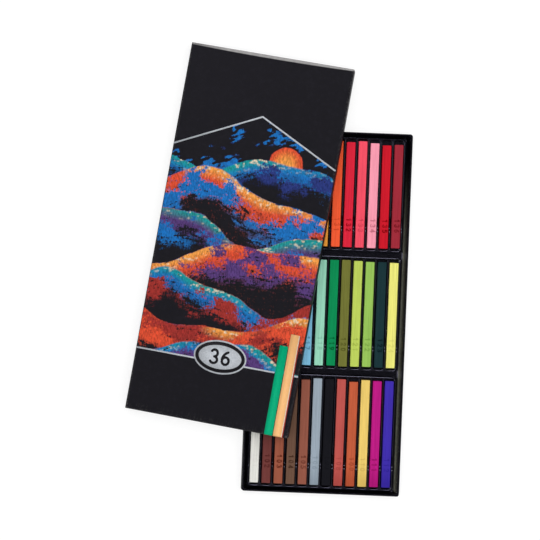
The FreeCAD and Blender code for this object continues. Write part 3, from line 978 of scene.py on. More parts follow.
@dataclass
class PastelStick:
    """One square stick, its edges worn and its top pressed with a running number."""

    pastel: Pastel
    number: int
    edge: float = 0.5
    chip: float = 0.45
    end_edge: float = 0.4
    mark_near: float = 11.8
    mark_height: float = 4.1
    mark_advance: float = 1.08
    mark_stroke: float = 0.85
    mark_depth: float = 0.3
    mark_aside: float = 0.35
    # Painted shade at the near end: its strength, and the length it fades over.
    rubbed: float = 0.34
    rubbed_over: float = 13.0
    wear_length: float = 3.1
    end_wear: float = 1.5
    end_rub: float = 0.8
    ragged: float = 0.18
    fine: float = 0.22
    coarse: float = 2.3
    plain_end: float = 1.2
    end_ring_shares: tuple[float, float] = (0.35, 0.7)
    top_stations: int = 27
    side_stations: int = 4
    numerals: Numerals = field(default_factory=Numerals)

    @property
    def node(self) -> str:
        """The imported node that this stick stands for."""
        return "stick_" + self.pastel.name.lower()

    def rows(self, length: float) -> tuple[Array, Array]:
        """Distances along the stick and how much the section shrinks there.

        The end faces come first and last, as two rings inside the end's outline.

        Args:
            length: The stick's length.

        Returns:
            The distances and the scales of the section, about its middle.
        """
        span = 3 * self.mark_height * self.mark_advance
        marks = np.arange(self.mark_near - 1, self.mark_near + span + 1, self.fine)
        before = np.linspace(self.plain_end, marks[0] - self.fine, 7)
        after = np.arange(marks[-1] + self.coarse / 2, length - self.plain_end, self.coarse)
        turn = np.radians([0, 30, 60, 90])
        rounding = self.end_edge * (1 - np.cos(turn))
        inset = self.end_edge * (1 - np.sin(turn))
        near = np.concatenate([[0, 0], rounding])
        scale = np.concatenate([self.end_ring_shares, 1 - inset / 4])
        along = np.concatenate([near, before, marks, after, length - near[::-1]])
        middle = np.ones(len(before) + len(marks) + len(after))
        return along, np.concatenate([scale, middle, scale[::-1]])

    def section(self, half: float, radii: Array) -> tuple[Array, Array, Array]:
        """The stick's outline at each row, a square with four round corners of their own radii.

        Args:
            half: Half the stick's side.
            radii: The corners' radii, of shape (rows, 4), from the upper right anticlockwise.

        Returns:
            Across and up places of shape (rows, stations), and for each station whether it is on
            the top (1), elsewhere on a side (0) or at a corner (2).
        """
        across, up, kind = [], [], []
        signs = [(1, 1), (-1, 1), (-1, -1), (1, -1)]
        counts = [self.top_stations] + [self.side_stations] * 3
        turns = np.radians([0, 30, 60, 90])
        for corner, (sx, sz) in enumerate(signs):
            r = radii[:, corner, None]
            cx, cz = sx * (half - r), sz * (half - r)
            angle = turns + corner * math.pi / 2
            across.append(cx + r * np.cos(angle))
            up.append(cz + r * np.sin(angle))
            kind.append(np.full(len(turns), 2))
            following = (corner + 1) % 4
            r2, (tx, tz) = radii[:, following, None], signs[following]
            end = angle[-1]
            x0, z0 = cx + r * np.cos(end), cz + r * np.sin(end)
            x1 = tx * (half - r2) + r2 * np.cos(end)
            z1 = tz * (half - r2) + r2 * np.sin(end)
            share = np.linspace(0, 1, counts[corner] + 2)[1:-1]
            across.append(x0 + (x1 - x0) * share)
            up.append(z0 + (z1 - z0) * share)
            kind.append(np.full(counts[corner], 1 if corner == 0 else 0))
        return np.concatenate(across, 1), np.concatenate(up, 1), np.concatenate(kind)

    def radii(self, y: Array, noise: Noise) -> Array:
        """The four corners' radii at each row: chipped in places by noise, and more at both ends."""
        corners = np.arange(4)[None, :]
        worn = noise.fractal(y[:, None] / self.wear_length, corners * 9.3)
        ends = np.exp(-np.minimum(y, y[-1] - y) / self.end_wear)[:, None]
        ends = ends * noise.at(corners * 5.7 + 2, 0 * corners)
        return self.edge + self.chip * (smooth(0.6, 0.85, worn) + 0.7 * ends)

    def pressed(self, across: Array, y: Array, noise: Noise) -> Array:
        """How deep the number is pressed at each place, from 0 to 1, a little unevenly.

        Args:
            across: Places across the stick, of shape (rows, stations).
            y: The rows' distances along it.
            noise: The stick's own noise.

        Returns:
            The depths, in the shape of across.
        """
        aside = self.mark_aside + 0.9 * (noise.at(np.array(3.3), np.array(8.1)) - 0.5)
        v = (across - aside + self.mark_height / 2) / self.mark_height
        u = (self.mark_near - y[:, None]) / self.mark_height + 3 * self.mark_advance
        gap = self.numerals.distance(str(self.number), u + 0 * v, v, self.mark_advance)
        gap, soft = gap * self.mark_height, self.mark_stroke / 2
        uneven = 0.65 + 0.35 * smooth(0.3, 0.6, noise.at(y[:, None] / 1.7, across / 1.7))
        return (1 - smooth(soft - 0.08, soft + 0.2, gap)) * uneven

    def build(self) -> bpy.types.Object:
        """Sweep the section along the stick, press the number into its top and dress it."""
        low, high = (np.array(corner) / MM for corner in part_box(self.node))
        colour, strength = self.pastel.value
        noise = Noise(self.number)
        y, scale = self.rows(high[1] - low[1])
        across, up, kind = self.section((high[0] - low[0]) / 2, self.radii(y, noise))
        pressed = self.pressed(across, y, noise) * (kind == 1) * strength
        # Painted shade, darker towards the near end on some sticks, shares one attribute with the
        # painted shade in the pressed number.
        near_end = np.exp(-((y[:, None] / self.rubbed_over) ** 2))
        rubbed = self.rubbed * (self.pastel in SHADED_NEAR_ENDS) * near_end
        mark = 1 - (1 - pressed) * (1 - rubbed)
        wear = (kind == 2) + np.exp(-np.minimum(y, y[-1] - y) / self.end_rub)[:, None]
        across, up = across * scale[:, None], up * scale[:, None] - self.mark_depth * pressed
        rough = self.ragged * noise.at(across * 1.3, up * 1.3) * (scale[:, None] < 0.9)
        along = y[:, None] + np.where(np.arange(len(y))[:, None] < len(y) / 2, rough, -rough)
        middle = (low + high) / 2
        points = np.stack([middle[0] + across, low[1] + along, middle[2] + up], -1)
        draft = Draft()
        index = draft.add_points(points, mark=mark, wear=np.clip(wear, 0, 1))
        draft.add_quads(index, closed=True, flip=True)
        draft.add_cap(index[0])
        draft.add_cap(index[-1], flip=True)
        name = self.pastel.name.lower()
        chalk = PressedChalk(colour).material("chalk_" + name)
        stick = draft.to_object("pastel_stick_" + name, chalk)
        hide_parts(self.node)
        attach(stick, self.node)
        return stick


class Ink(Enum):
    """The print's colours as a screen shows them."""

    ORANGE = (232, 82, 50)
    YELLOW = (252, 166, 76)
    RED = (168, 50, 44)
    BROWN = (82, 36, 32)
    BLUE = (22, 116, 196)
    DEEP_BLUE = (40, 56, 128)
    TEAL = (24, 158, 158)
    PURPLE = (92, 62, 128)
    PALE = (244, 222, 190)
    NIGHT = (18, 20, 32)


@dataclass(frozen=True)
class Hill:
    """One chalk hill of the lid's picture: its crest, a sum of two sines, and its inks."""

    base: float
    rise: float
    wave: float
    phase: float
    rim: Ink
    body: Ink
    fleck: Ink
    shade: Ink
    depth: float


@dataclass
class HillPicture:
    """Rolling hills and a low sun, in rough chalk on black paper, as two inks at any place."""

    seed: int = 36
    apex: float = 107.3
    shoulder: float = 71.7
    foot: float = -107.4
    half_width: float = 71.6
    hills: tuple[Hill, ...] = (
        Hill(64, 8, 24, 0.4, Ink.TEAL, Ink.BLUE, Ink.DEEP_BLUE, Ink.NIGHT, 30),
        Hill(40, 13, 33, 2.6, Ink.YELLOW, Ink.ORANGE, Ink.BLUE, Ink.BROWN, 46),
        Hill(8, 12, 27, 4.2, Ink.TEAL, Ink.PURPLE, Ink.BLUE, Ink.NIGHT, 40),
        Hill(-16, 14, 37, 0.7, Ink.YELLOW, Ink.ORANGE, Ink.PURPLE, Ink.BROWN, 44),
        Hill(-48, 11, 25, 3.4, Ink.TEAL, Ink.BLUE, Ink.RED, Ink.NIGHT, 36),
        Hill(-72, 11, 30, 5.4, Ink.YELLOW, Ink.RED, Ink.ORANGE, Ink.BROWN, 38),
        Hill(-97, 8, 23, 1.2, Ink.TEAL, Ink.BLUE, Ink.PURPLE, Ink.DEEP_BLUE, 34),
    )
    sun: tuple[float, float, float] = (28.0, 70.0, 15.0)

    def __post_init__(self) -> None:
        """Fill the noise that all its strokes come from."""
        self.noise = Noise(self.seed)

    def colour(self, ink: Ink) -> Array:
        """An ink's linear colour."""
        return np.array(linear(ink.value)[:3])

    def toward(self, start: Array, ink: Ink, share: Array) -> Array:
        """Carry colours towards an ink by a share at each place."""
        return start + (self.colour(ink) - start) * share[..., None]

    def crest(self, hill: Hill, x: Array) -> Array:
        """The height of a hill's crest: its base and two sines, the second finer and lower."""
        turn = x / hill.wave + hill.phase
        return hill.base + hill.rise * (np.sin(turn) + 0.35 * np.sin(2.3 * turn + 1.7 * hill.phase))

    def layer(self, order: int, hill: Hill, x: Array, y: Array) -> tuple[Array, ...]:
        """One hill: from a lit rim over its body to its shade, broken up by strokes along its crest.

        Args:
            order: Its place from the back.
            hill: The hill.
            x: Places across the lid, in millimetres.
            y: Places along it.

        Returns:
            How much the hill covers each place, its two inks, the upper one's share, and the cover.
        """
        noise, down = self.noise, self.crest(hill, x) - y
        stroke = noise.fractal(x / 9 + 13 * order, down / 1.5 + 0.05 * x, 3)
        speck = noise.fractal(x / 2.6 + 7 * order, y / 1.9 + 11 * order, 2)
        cloud = noise.fractal(x / 16 + 3 * order, y / 12 + 5 * order, 3)
        edge = smooth(-0.6, 0.7, down + 2.2 * (stroke - 0.5))
        light = noise.at(x / 34 + 29 * order, 0 * y + 4.3)
        rim = (1 - smooth(1.0, 4 + 12 * light, down + 3 * (stroke - 0.5))) * smooth(0.25, 0.6, light)
        dark = smooth(0.2, 1.0, down / hill.depth + 0.8 * (cloud - 0.5) + 0.3 * (stroke - 0.5))
        plain = 0 * x[..., None]
        top = self.toward(self.colour(hill.body) + plain, hill.shade, 0.55 * dark)
        top = self.toward(top, hill.rim, rim)
        top = self.toward(top, Ink.PALE, rim * smooth(0.62, 0.74, speck))
        below = self.toward(self.colour(hill.fleck) + plain, hill.shade, smooth(0.3, 0.9, dark))
        part = np.clip(0.58 + 1.7 * (cloud - 0.5) - 0.55 * dark + 0.3 * rim, 0.05, 0.95)
        thick = 0.86 - 0.5 * dark - 0.35 * smooth(0.5, 0.25, stroke) + 0.12 * rim
        return edge, top, below, part, thick

    def inks(self, x: Array, y: Array) -> dict[str, Array]:
        """The upper ink and its share of the grain, and the ink below it and its cover of the paper.

        Each hill is laid over the sky, the sun and the hills behind it. The second ink shows
        wherever the upper one skips over the paper's grain, more so towards a hill's shade.

        Args:
            x: Places across the lid, in millimetres.
            y: Places along it.

        Returns:
            The attributes "ink" and "under", each of shape x.shape + (4,).
        """
        noise = self.noise
        scribble = noise.fractal(x / 7 + y / 9, y / 2.2 - x / 4, 3)
        patch = noise.fractal(x / 19 + 5, y / 15 + 3, 3)
        upper = self.colour(Ink.NIGHT) + 0 * x[..., None]
        lower = upper
        sky = smooth(0.5, 0.72, patch) * smooth(0.36, 0.62, scribble)
        upper = self.toward(upper, Ink.BLUE, smooth(0.05, 0.3, sky))
        lower = self.toward(lower, Ink.DEEP_BLUE, sky)
        share, cover = 0.8 * sky, 0.1 + 0.7 * sky
        away = np.hypot(x - self.sun[0], y - self.sun[1]) + 1.4 * (scribble - 0.5)
        disc = 1 - smooth(self.sun[2] - 0.8, self.sun[2] + 0.6, away)
        upper = self.toward(upper, Ink.ORANGE, disc)
        upper = self.toward(upper, Ink.YELLOW, disc * smooth(self.sun[2], 2, away))
        lower = self.toward(lower, Ink.RED, disc)
        share, cover = share + (0.75 - share) * disc, cover + (0.9 - cover) * disc
        for order, hill in enumerate(self.hills):
            edge, top, below, part, thick = self.layer(order, hill, x, y)
            upper = upper + (top - upper) * edge[..., None]
            lower = lower + (below - lower) * edge[..., None]
            share, cover = share + (part - share) * edge, cover + (thick - cover) * edge
        roof = self.apex - (self.apex - self.shoulder) * np.abs(x - 1) / self.half_width
        inside = (y < roof) & (y > self.foot)
        cover = np.clip(cover, 0, 1) * inside
        ink = np.concatenate([upper, share[..., None]], -1)
        return {"ink": ink, "under": np.concatenate([lower, cover[..., None]], -1)}


@dataclass(frozen=True)
class ChalkPrint(Finish):
    """Black coated paper with a print of two layers of rough chalk, which its grain breaks up."""

    paper: Colour = (21, 20, 26)
    # Painted highlight along the far edge's rounded fold, standing in for light caught there.
    fold: Colour = (168, 166, 166)
    roughness: float = 0.45
    specular: float = 0.07
    cell: float = 620.0
    thin: float = 0.55
    scuffs: Colour = (110, 108, 106)

    def skipping(self, m: Shader, amount: object, grain: object) -> object:
        """Where a chalk layer takes on the paper: its amount and the grain against a threshold."""
        return m.rise(m.scaled(amount, 0.62, grain), 0.77, 0.86)

    def wire(self, m: Shader) -> None:
        """Paper, then two chalk layers with the amounts that the mesh gives, then the painted highlight
        on the far fold.
        """
        m.even(self.specular)
        flat, drawn = m.place(), m.place((1, 0.4, 1), turn=(0, 0, 0.7))
        fine = m.noise(flat, self.cell, 3, 0.7)
        first = m.mix_value(0.45, fine, m.noise(drawn, self.cell * 1.1, 2, 0.6))
        coarse = m.noise(flat, self.cell * 0.8, 3, 0.7, 0.4)
        second = m.mix_value(0.3, coarse, m.noise(drawn, self.cell, 2, 0.6))
        wide = m.noise(flat, 260, 3, 0.6)
        base = m.mix(m.rise(wide, 0.5, 0.9), linear(self.paper), toned(self.paper, 1.5))
        worn = m.mix_value(m.attribute("wear"), 0.0, m.rise(fine, 0.45, 0.7, 0.0, 0.8))
        base = m.mix(worn, base, linear(self.scuffs))
        upper, lower = m.attribute("ink", "Color"), m.attribute("under", "Color")
        chalk = m.mix(self.skipping(m, m.attribute("ink", "Alpha"), second), lower, upper)
        tone = m.rise(m.noise(drawn, self.cell * 1.3, 2, 0.6), 0.36, 0.62, self.thin, 1.0)
        chalk = m.mix(1.0, chalk, tone, "MULTIPLY")
        printed = m.mix(self.skipping(m, m.attribute("under", "Alpha"), first), base, chalk)
        # Painted highlight on the far fold, its strength varied by noise.
        fold_highlight_amount = m.scaled(m.attribute("fold"), m.rise(wide, 0.3, 0.7, 0.75, 1.0))
        m.link(m.mix(fold_highlight_amount, printed, linear(self.fold)), "Base Color")
        m.link(m.rise(wide, 0.3, 0.7, self.roughness - 0.05, self.roughness + 0.08), "Roughness")
        m.bump(m.mix_value(0.3, wide, fine), 0.12, 0.0002)


@dataclass(frozen=True)
class EvenInk(Finish):
    """An evenly printed or foiled patch with a faint paper grain."""

    colour: Colour
    roughness: float = 0.5
    second: Colour | None = None
    specular: float = 0.06

    def wire(self, m: Shader) -> None:
        """Two like colours, mixed by a fine grain."""
        m.even(self.specular, self.roughness)
        place = m.place()
        grain = m.noise(place, 900, 3, 0.6)
        other = linear(self.second) if self.second else toned(self.colour, 0.86)
        m.link(m.mix(m.rise(grain, 0.35, 0.7), linear(self.colour), other), "Base Color")
        m.bump(grain, 0.08, 0.0001)


@dataclass(frozen=True)
class Pulp(Finish):
    """Grey chipboard or brown gummed paper: a matte felt of fibres and darker flecks."""

    colour: Colour
    fleck: Colour
    fibre: float = 420.0
    roughness: float = 0.9
    specular: float = 0.2

    def wire(self, m: Shader) -> None:
        """Felted fibres by warped noise, and flecks by a finer one."""
        m.even(self.specular, self.roughness)
        place = m.place((1, 0.55, 1))
        felt = m.noise(place, self.fibre, 5, 0.7, 0.8)
        fine = m.noise(m.place(), 2400, 3, 0.7)
        felted = m.rise(felt, 0.35, 0.65)
        colour = m.mix(felted, linear(self.colour), toned(self.colour, 1.25))
        colour = m.mix(m.rise(fine, 0.62, 0.72, 0.0, 0.8), colour, linear(self.fleck))
        m.link(colour, "Base Color")
        m.bump(m.mix_value(0.5, felt, fine), 0.25, 0.00015)


@dataclass
class WrappedLid:
    """The lift-off lid, askew across the tray: its printed wrap, its board and its paper stays."""

    width: float = 143.23
    length: float = 322.1
    height: float = 15.0
    board: float = 1.2
    paper: float = 0.2
    top_edge: float = 1.6
    upright_edge: float = 0.6
    turn_in: float = 10.0
    west_by: float = 77.0
    north_by: float = 60.0
    turn: float = 8.1
    rest_clearance: float = 0.3
    tray_size: tuple[float, float, float] = (138.63, 316.9, 14.2)
    skirt_lean: float = 1.3
    cell: float = 0.72
    proud: float = 0.04
    line: float = 1.4
    badge: tuple[float, float, float, float] = (2.0, -103.0, 23.0, 14.5)
    # Width of the painted highlight along the far fold: at its ends, and how much more in the middle.
    fold_strip: tuple[float, float] = (1.7, 1.1)
    side_gap: float = 0.5
    lower_line_gap: tuple[float, float] = (50.6, 67.6)
    badge_insets: tuple[float, float, float] = (0.0, 1.3, 4.3)
    roof_middle: float = 1.0
    roof_rise: float = 0.4
    count_half: tuple[float, float] = (10.0, 8.0)
    count_cell: float = 0.125
    count_soft: float = 0.07
    count_size: float = 12.5
    count_stroke: float = 2.2
    count_advance: float = 0.8
    silver: EvenInk = EvenInk((206, 210, 216), 0.3, (176, 182, 190))
    black: EvenInk = EvenInk((30, 29, 33))
    stripes: tuple[tuple[str, float, float, float, EvenInk], ...] = (
        ("lid_green_stripe", 51.1, 58.3, -83.5, EvenInk((4, 178, 126), 0.5, (8, 162, 116))),
        ("lid_peach_stripe", 58.8, 65.9, -72.5, EvenInk((249, 188, 122), 0.5, (250, 198, 138))),
        ("lid_stripe_edge", 66.6, 67.5, -73.0, EvenInk((176, 62, 46), 0.5)),
        ("lid_stripe_fold", 65.9, 66.6, -72.7, EvenInk((244, 226, 208), 0.5)),
    )
    picture: HillPicture = field(default_factory=HillPicture)
    numerals: Numerals = field(default_factory=Numerals)

    def __post_init__(self) -> None:
        """Work out how the lid lies: one corner down, two walls across the tray's rim.

        The plane through the corner and the two resting places gives the lid's upright. Its long
        axis is the turned one, tipped into that plane.
        """
        wall = self.board + 2 * self.paper
        turn = math.radians(self.turn)
        across = np.array([math.cos(turn), -math.sin(turn), 0])
        along = np.array([math.sin(turn), math.cos(turn), 0])
        middle = np.array([-self.west_by, self.north_by, 0])
        corner = middle - across * self.width / 2 + along * self.length / 2
        east = middle + across * (self.width / 2 - wall)
        south = middle - along * (self.length / 2 - wall)
        rim_north = self.tray_size[1] / 2 - self.skirt_lean
        rim_west = self.skirt_lean - self.tray_size[0] / 2
        on_north = east + along * ((rim_north - east[1]) / along[1])
        on_west = south + across * ((rim_west - south[0]) / across[0])
        lift = np.array([0, 0, self.tray_size[2]])
        normal = np.cross(on_west + lift - corner, on_north + lift - corner)
        normal *= np.sign(normal[2]) / np.linalg.norm(normal)
        long_axis = along - np.array([0, 0, along @ normal / normal[2]])
        long_axis /= np.linalg.norm(long_axis)
        short_axis = np.cross(long_axis, normal)
        low = -short_axis * self.width / 2 + long_axis * self.length / 2
        self.base = corner + np.array([0, 0, self.rest_clearance]) - low
        self.axes = np.stack([short_axis, long_axis, normal])

    def placed(self, points: Array) -> Array:
        """Carry points from the lid's level frame to where it lies."""
        return points @ self.axes + self.base

    def profile(self) -> list[tuple[float, float, float]]:
        """The wrap's section from the top's flat to its inner face, as (offset, height, corner).

        It rounds the top edge, goes down the wall, round the foot, up the turned-in paper, and
        back down and up again against the board.
        """
        h, r, wall = self.height, self.top_edge, self.board + 2 * self.paper
        turns = [(math.sin(turn), math.cos(turn)) for turn in np.radians(np.linspace(0, 90, 7))[1:]]
        rows = [(r * sin - r, h - r + r * cos, self.upright_edge * sin) for sin, cos in turns]
        rows += [(0.0, h * 0.55, self.upright_edge), (0.0, self.paper, self.upright_edge)]
        rows += [(-self.paper, 0.0, self.upright_edge - self.paper), (self.paper - wall, 0.0, 0.0)]
        rows += [(-wall, self.paper, 0.0), (-wall, self.turn_in, 0.0)]
        rows += [(self.paper - wall, self.turn_in, 0.0)]
        rows += [(self.paper - wall, self.paper * 1.5, 0.0), (-self.paper, self.paper * 1.5, 0.0)]
        rows += [(-self.paper, h - r, 0.0), (-r, h - self.paper, 0.0)]
        return rows

    def fold(self, x: Array, y: Array) -> Array:
        """How much painted highlight the far fold gets: a strip along the far edge, widest in its
        middle.
        """
        narrow, more = self.fold_strip
        width = narrow + more * (1 - (2 * x / self.width) ** 2)
        start = self.length / 2 - width
        return smooth(start - 0.3, start + 0.3, y) * (1 - 0.45 * smooth(-0.25, -0.5, x / self.width))

    def wrap(self) -> bpy.types.Object:
        """The printed wrap: a fine grid for its top, and its section carried round the edge."""
        half_x, half_y = self.width / 2, self.length / 2
        flat_x, flat_y = half_x - self.top_edge, half_y - self.top_edge
        xs = np.linspace(-flat_x, flat_x, round(2 * flat_x / self.cell))
        low, high = self.picture.foot - 1, self.picture.apex + 1
        ys = np.linspace(low, high, round((high - low) / self.cell))
        strip = flat_y - 3
        far = [np.linspace(high, strip, 9)[1:-1], np.linspace(strip, flat_y, 12)]
        ys = np.concatenate([np.linspace(-flat_y, low, 10)[:-1], ys] + far)
        gx, gy = np.meshgrid(xs, ys)
        top = np.stack([gx, gy, np.full_like(gx, self.height)], -1)
        draft = Draft()
        print_here = self.picture.inks(gx, gy)
        fold = self.fold(gx, gy)
        draft.add_quads(draft.add_points(self.placed(top), fold=fold, wear=0.0, **print_here))
        course = Course.regular(xs[1:-1], ys[1:-1])
        loops = [raised(course.outline(about(flat_x, flat_y), 0), self.height)]
        for offset, level, radius in self.profile():
            ring = course.outline(about(half_x + offset, half_y + offset), radius)
            loops.append(raised(ring, level))
        ring = np.stack(loops)
        print_here = self.picture.inks(ring[..., 0], ring[..., 1])
        sunk = self.height - ring[..., 2]
        fade = smooth(half_x - 0.2, half_x - 0.9, np.abs(ring[..., 0])) * (sunk < 0.8)
        print_here["under"][..., 3] *= fade
        wear = np.where(course.on(*CORNERS), 1.0, 0.35) * np.exp(-((sunk - 0.5) ** 2))
        # Painted highlight along the far fold, carried down the rounded edge.
        fold = self.fold(ring[..., 0], ring[..., 1]) * smooth(5, 2, sunk)
        index = draft.add_points(self.placed(ring), fold=fold, wear=wear, **print_here)
        draft.add_quads(index, closed=True, flip=True)
        draft.add_cap(index[-1], flip=True)
        cover = draft.to_object("lid_cover", ChalkPrint().material("chalk_print"))
        return self.finish(cover, "lid_wrap")

    def finish(self, piece: bpy.types.Object, node: str | None = None) -> bpy.types.Object:
        """Let a piece ride on the lid, standing for a node if one is named."""
        if node:
            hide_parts(node)
        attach(piece, "lid")
        return piece

    def patch(self, name: str, outline: Array, ink: EvenInk, layer: int = 1) -> bpy.types.Object:
        """A flat closed patch of print on the lid's top.

        Args:
            name: The piece's name.
            outline: The patch's outline, anticlockwise, of shape (N, 2).
            ink: Its finish.
            layer: How many films' thickness it stands above the top.

        Returns:
            The piece.
        """
        up, down = self.height + self.proud * layer, self.height - self.proud
        return self.film(name, np.stack([raised(outline, down), raised(outline, up)]), ink)

    def film(self, name: str, loops: Array, ink: EvenInk) -> bpy.types.Object:
        """Close two loops of points, of shape (2, N, 3), into one piece of print."""
        draft = Draft()
        index = draft.add_points(self.placed(loops))
        draft.add_quads(index, closed=True)
        draft.add_cap(index[0], flip=True)
        draft.add_cap(index[1])
        return self.finish(draft.to_object(name, ink.material(name + "_ink"), merge=0.0001))

    def band(self, name: str, west: float, east: float, north: float, ink: EvenInk) -> bpy.types.Object:
        """A stripe that runs along the top, over the near edge and down the wall.

        Its section is the lid's own end profile and a copy of it one film further in, closed into
        a loop that is carried from the west side to the east side.
        """
        r, h, y = self.top_edge, self.height, self.length / 2
        turns = np.radians(np.linspace(0, 90, 7))
        outward = np.stack([-np.sin(turns), np.cos(turns)], 1)
        rounding = np.array([-y + r, h - r]) + r * outward
        shape = np.concatenate([[[north, h], [-y + r, h]], rounding[1:], [[-y, self.paper]]])
        out = np.concatenate([[[0, 1], [0, 1]], outward[1:], [[-1, 0]]])
        loop = np.concatenate([shape + out * self.proud, (shape - out * self.proud)[::-1]])
        sides = [np.concatenate([np.full((len(loop), 1), x), loop], 1) for x in (west, east)]
        return self.film(name, np.stack(sides), ink)

    def oval(self, inset: float) -> Array:
        """The badge's outline, an ellipse, this far inside its edge."""
        turn = np.linspace(0, 2 * math.pi, 96, endpoint=False)
        x, y, rx, ry = self.badge
        return np.stack([x + (rx - inset) * np.cos(turn), y + (ry - inset) * np.sin(turn)], 1)

    def stroke(self, points: Array, width: float) -> Array:
        """The outline of a line of this width along a run of points, with mitred turns.

        Each point moves out by half the width, divided by the cosine of half its turn.
        """
        run = np.diff(points, axis=0)
        run /= np.linalg.norm(run, axis=1, keepdims=True)
        left = np.stack([-run[:, 1], run[:, 0]], 1)
        before, after = np.concatenate([left[:1], left]), np.concatenate([left, left[-1:]])
        miter = before + after
        miter /= (miter * after).sum(1, keepdims=True)
        return np.concatenate([points - miter * width / 2, (points + miter * width / 2)[::-1]])

    def print_on(self) -> list[bpy.types.Object]:
        """The silver lines, the two stripes and the badge that counts the sticks."""
        edge, p = self.width / 2 - self.side_gap, self.picture
        end, start = self.lower_line_gap
        drop = p.shoulder + self.roof_rise
        lines = {
            "lid_upper_line": [[-edge, drop], [self.roof_middle, p.apex], [edge, drop]],
            "lid_lower_line": [[-edge, p.foot], [end, p.foot]],
            "lid_lower_line_end": [[start, p.foot], [edge, p.foot]],
        }
        pieces = [
            self.patch(name, self.stroke(np.array(points), self.line), self.silver)
            for name, points in lines.items()
        ]
        pieces += [self.band(*stripe) for stripe in self.stripes]
        badge = {"rim": self.silver, "ring": self.black, "disc": self.silver}
        for layer, (name, inset) in enumerate(zip(badge, self.badge_insets), 2):
            pieces.append(self.patch("lid_badge_" + name, self.oval(inset), badge[name], layer))
        return pieces + [self.count()]

    def count(self) -> bpy.types.Object:
        """The badge's number, 36, as a thin raised film.

        The film's height is the top's wherever a place on the disc is nearer to a stroke than half
        its width, and just under the disc elsewhere, so the number's edge is a steep step.
        """
        size, stroke, advance = self.count_size, self.count_stroke, self.count_advance
        cell = self.count_cell
        places = [np.linspace(-half, half, round(2 * half / cell) + 1) for half in self.count_half]
        gx, gy = np.meshgrid(*places)
        start = -(advance + 0.6) / 2
        gap = self.numerals.distance("36", gx / size - start, gy / size + 0.5, advance) * size
        inside = 1 - smooth(stroke / 2 - self.count_soft, stroke / 2 + self.count_soft, gap)
        film = self.proud * (3 + 2 * inside)
        upper = np.stack([gx + self.badge[0], gy + self.badge[1], self.height + film], -1)
        lower = upper.copy()
        lower[..., 2] = self.height
        draft = Draft()
        top = draft.add_points(self.placed(upper))
        draft.add_quads(top)
        bottom = draft.add_points(self.placed(lower))
        draft.add_quads(bottom, flip=True)
        rims = [
            np.concatenate([sheet[0, :], sheet[1:, -1], sheet[-1, -2::-1], sheet[-2:0:-1, 0]])
            for sheet in (bottom, top)
        ]
        draft.add_quads(np.stack(rims), closed=True)
        ink = EvenInk((28, 27, 31)).material("badge_number_ink")
        return self.finish(draft.to_object("lid_badge_number", ink, merge=0.0001))

    def build(self) -> list[bpy.types.Object]:
        """Build the wrap and its print, and give the board and the stays their finishes."""
        pieces = [self.wrap()] + self.print_on()
        board = Pulp((150, 145, 136), (96, 92, 88)).material("grey_chipboard")
        stays = Pulp((158, 122, 80), (116, 88, 58), 600).material("brown_gummed_paper")
        for node, finish in (("lid_board", board), ("lid_corner_stays", stays)):
            cad = bpy.data.objects[node]
            cad.data.materials.clear()
            cad.data.materials.append(finish)
        return pieces


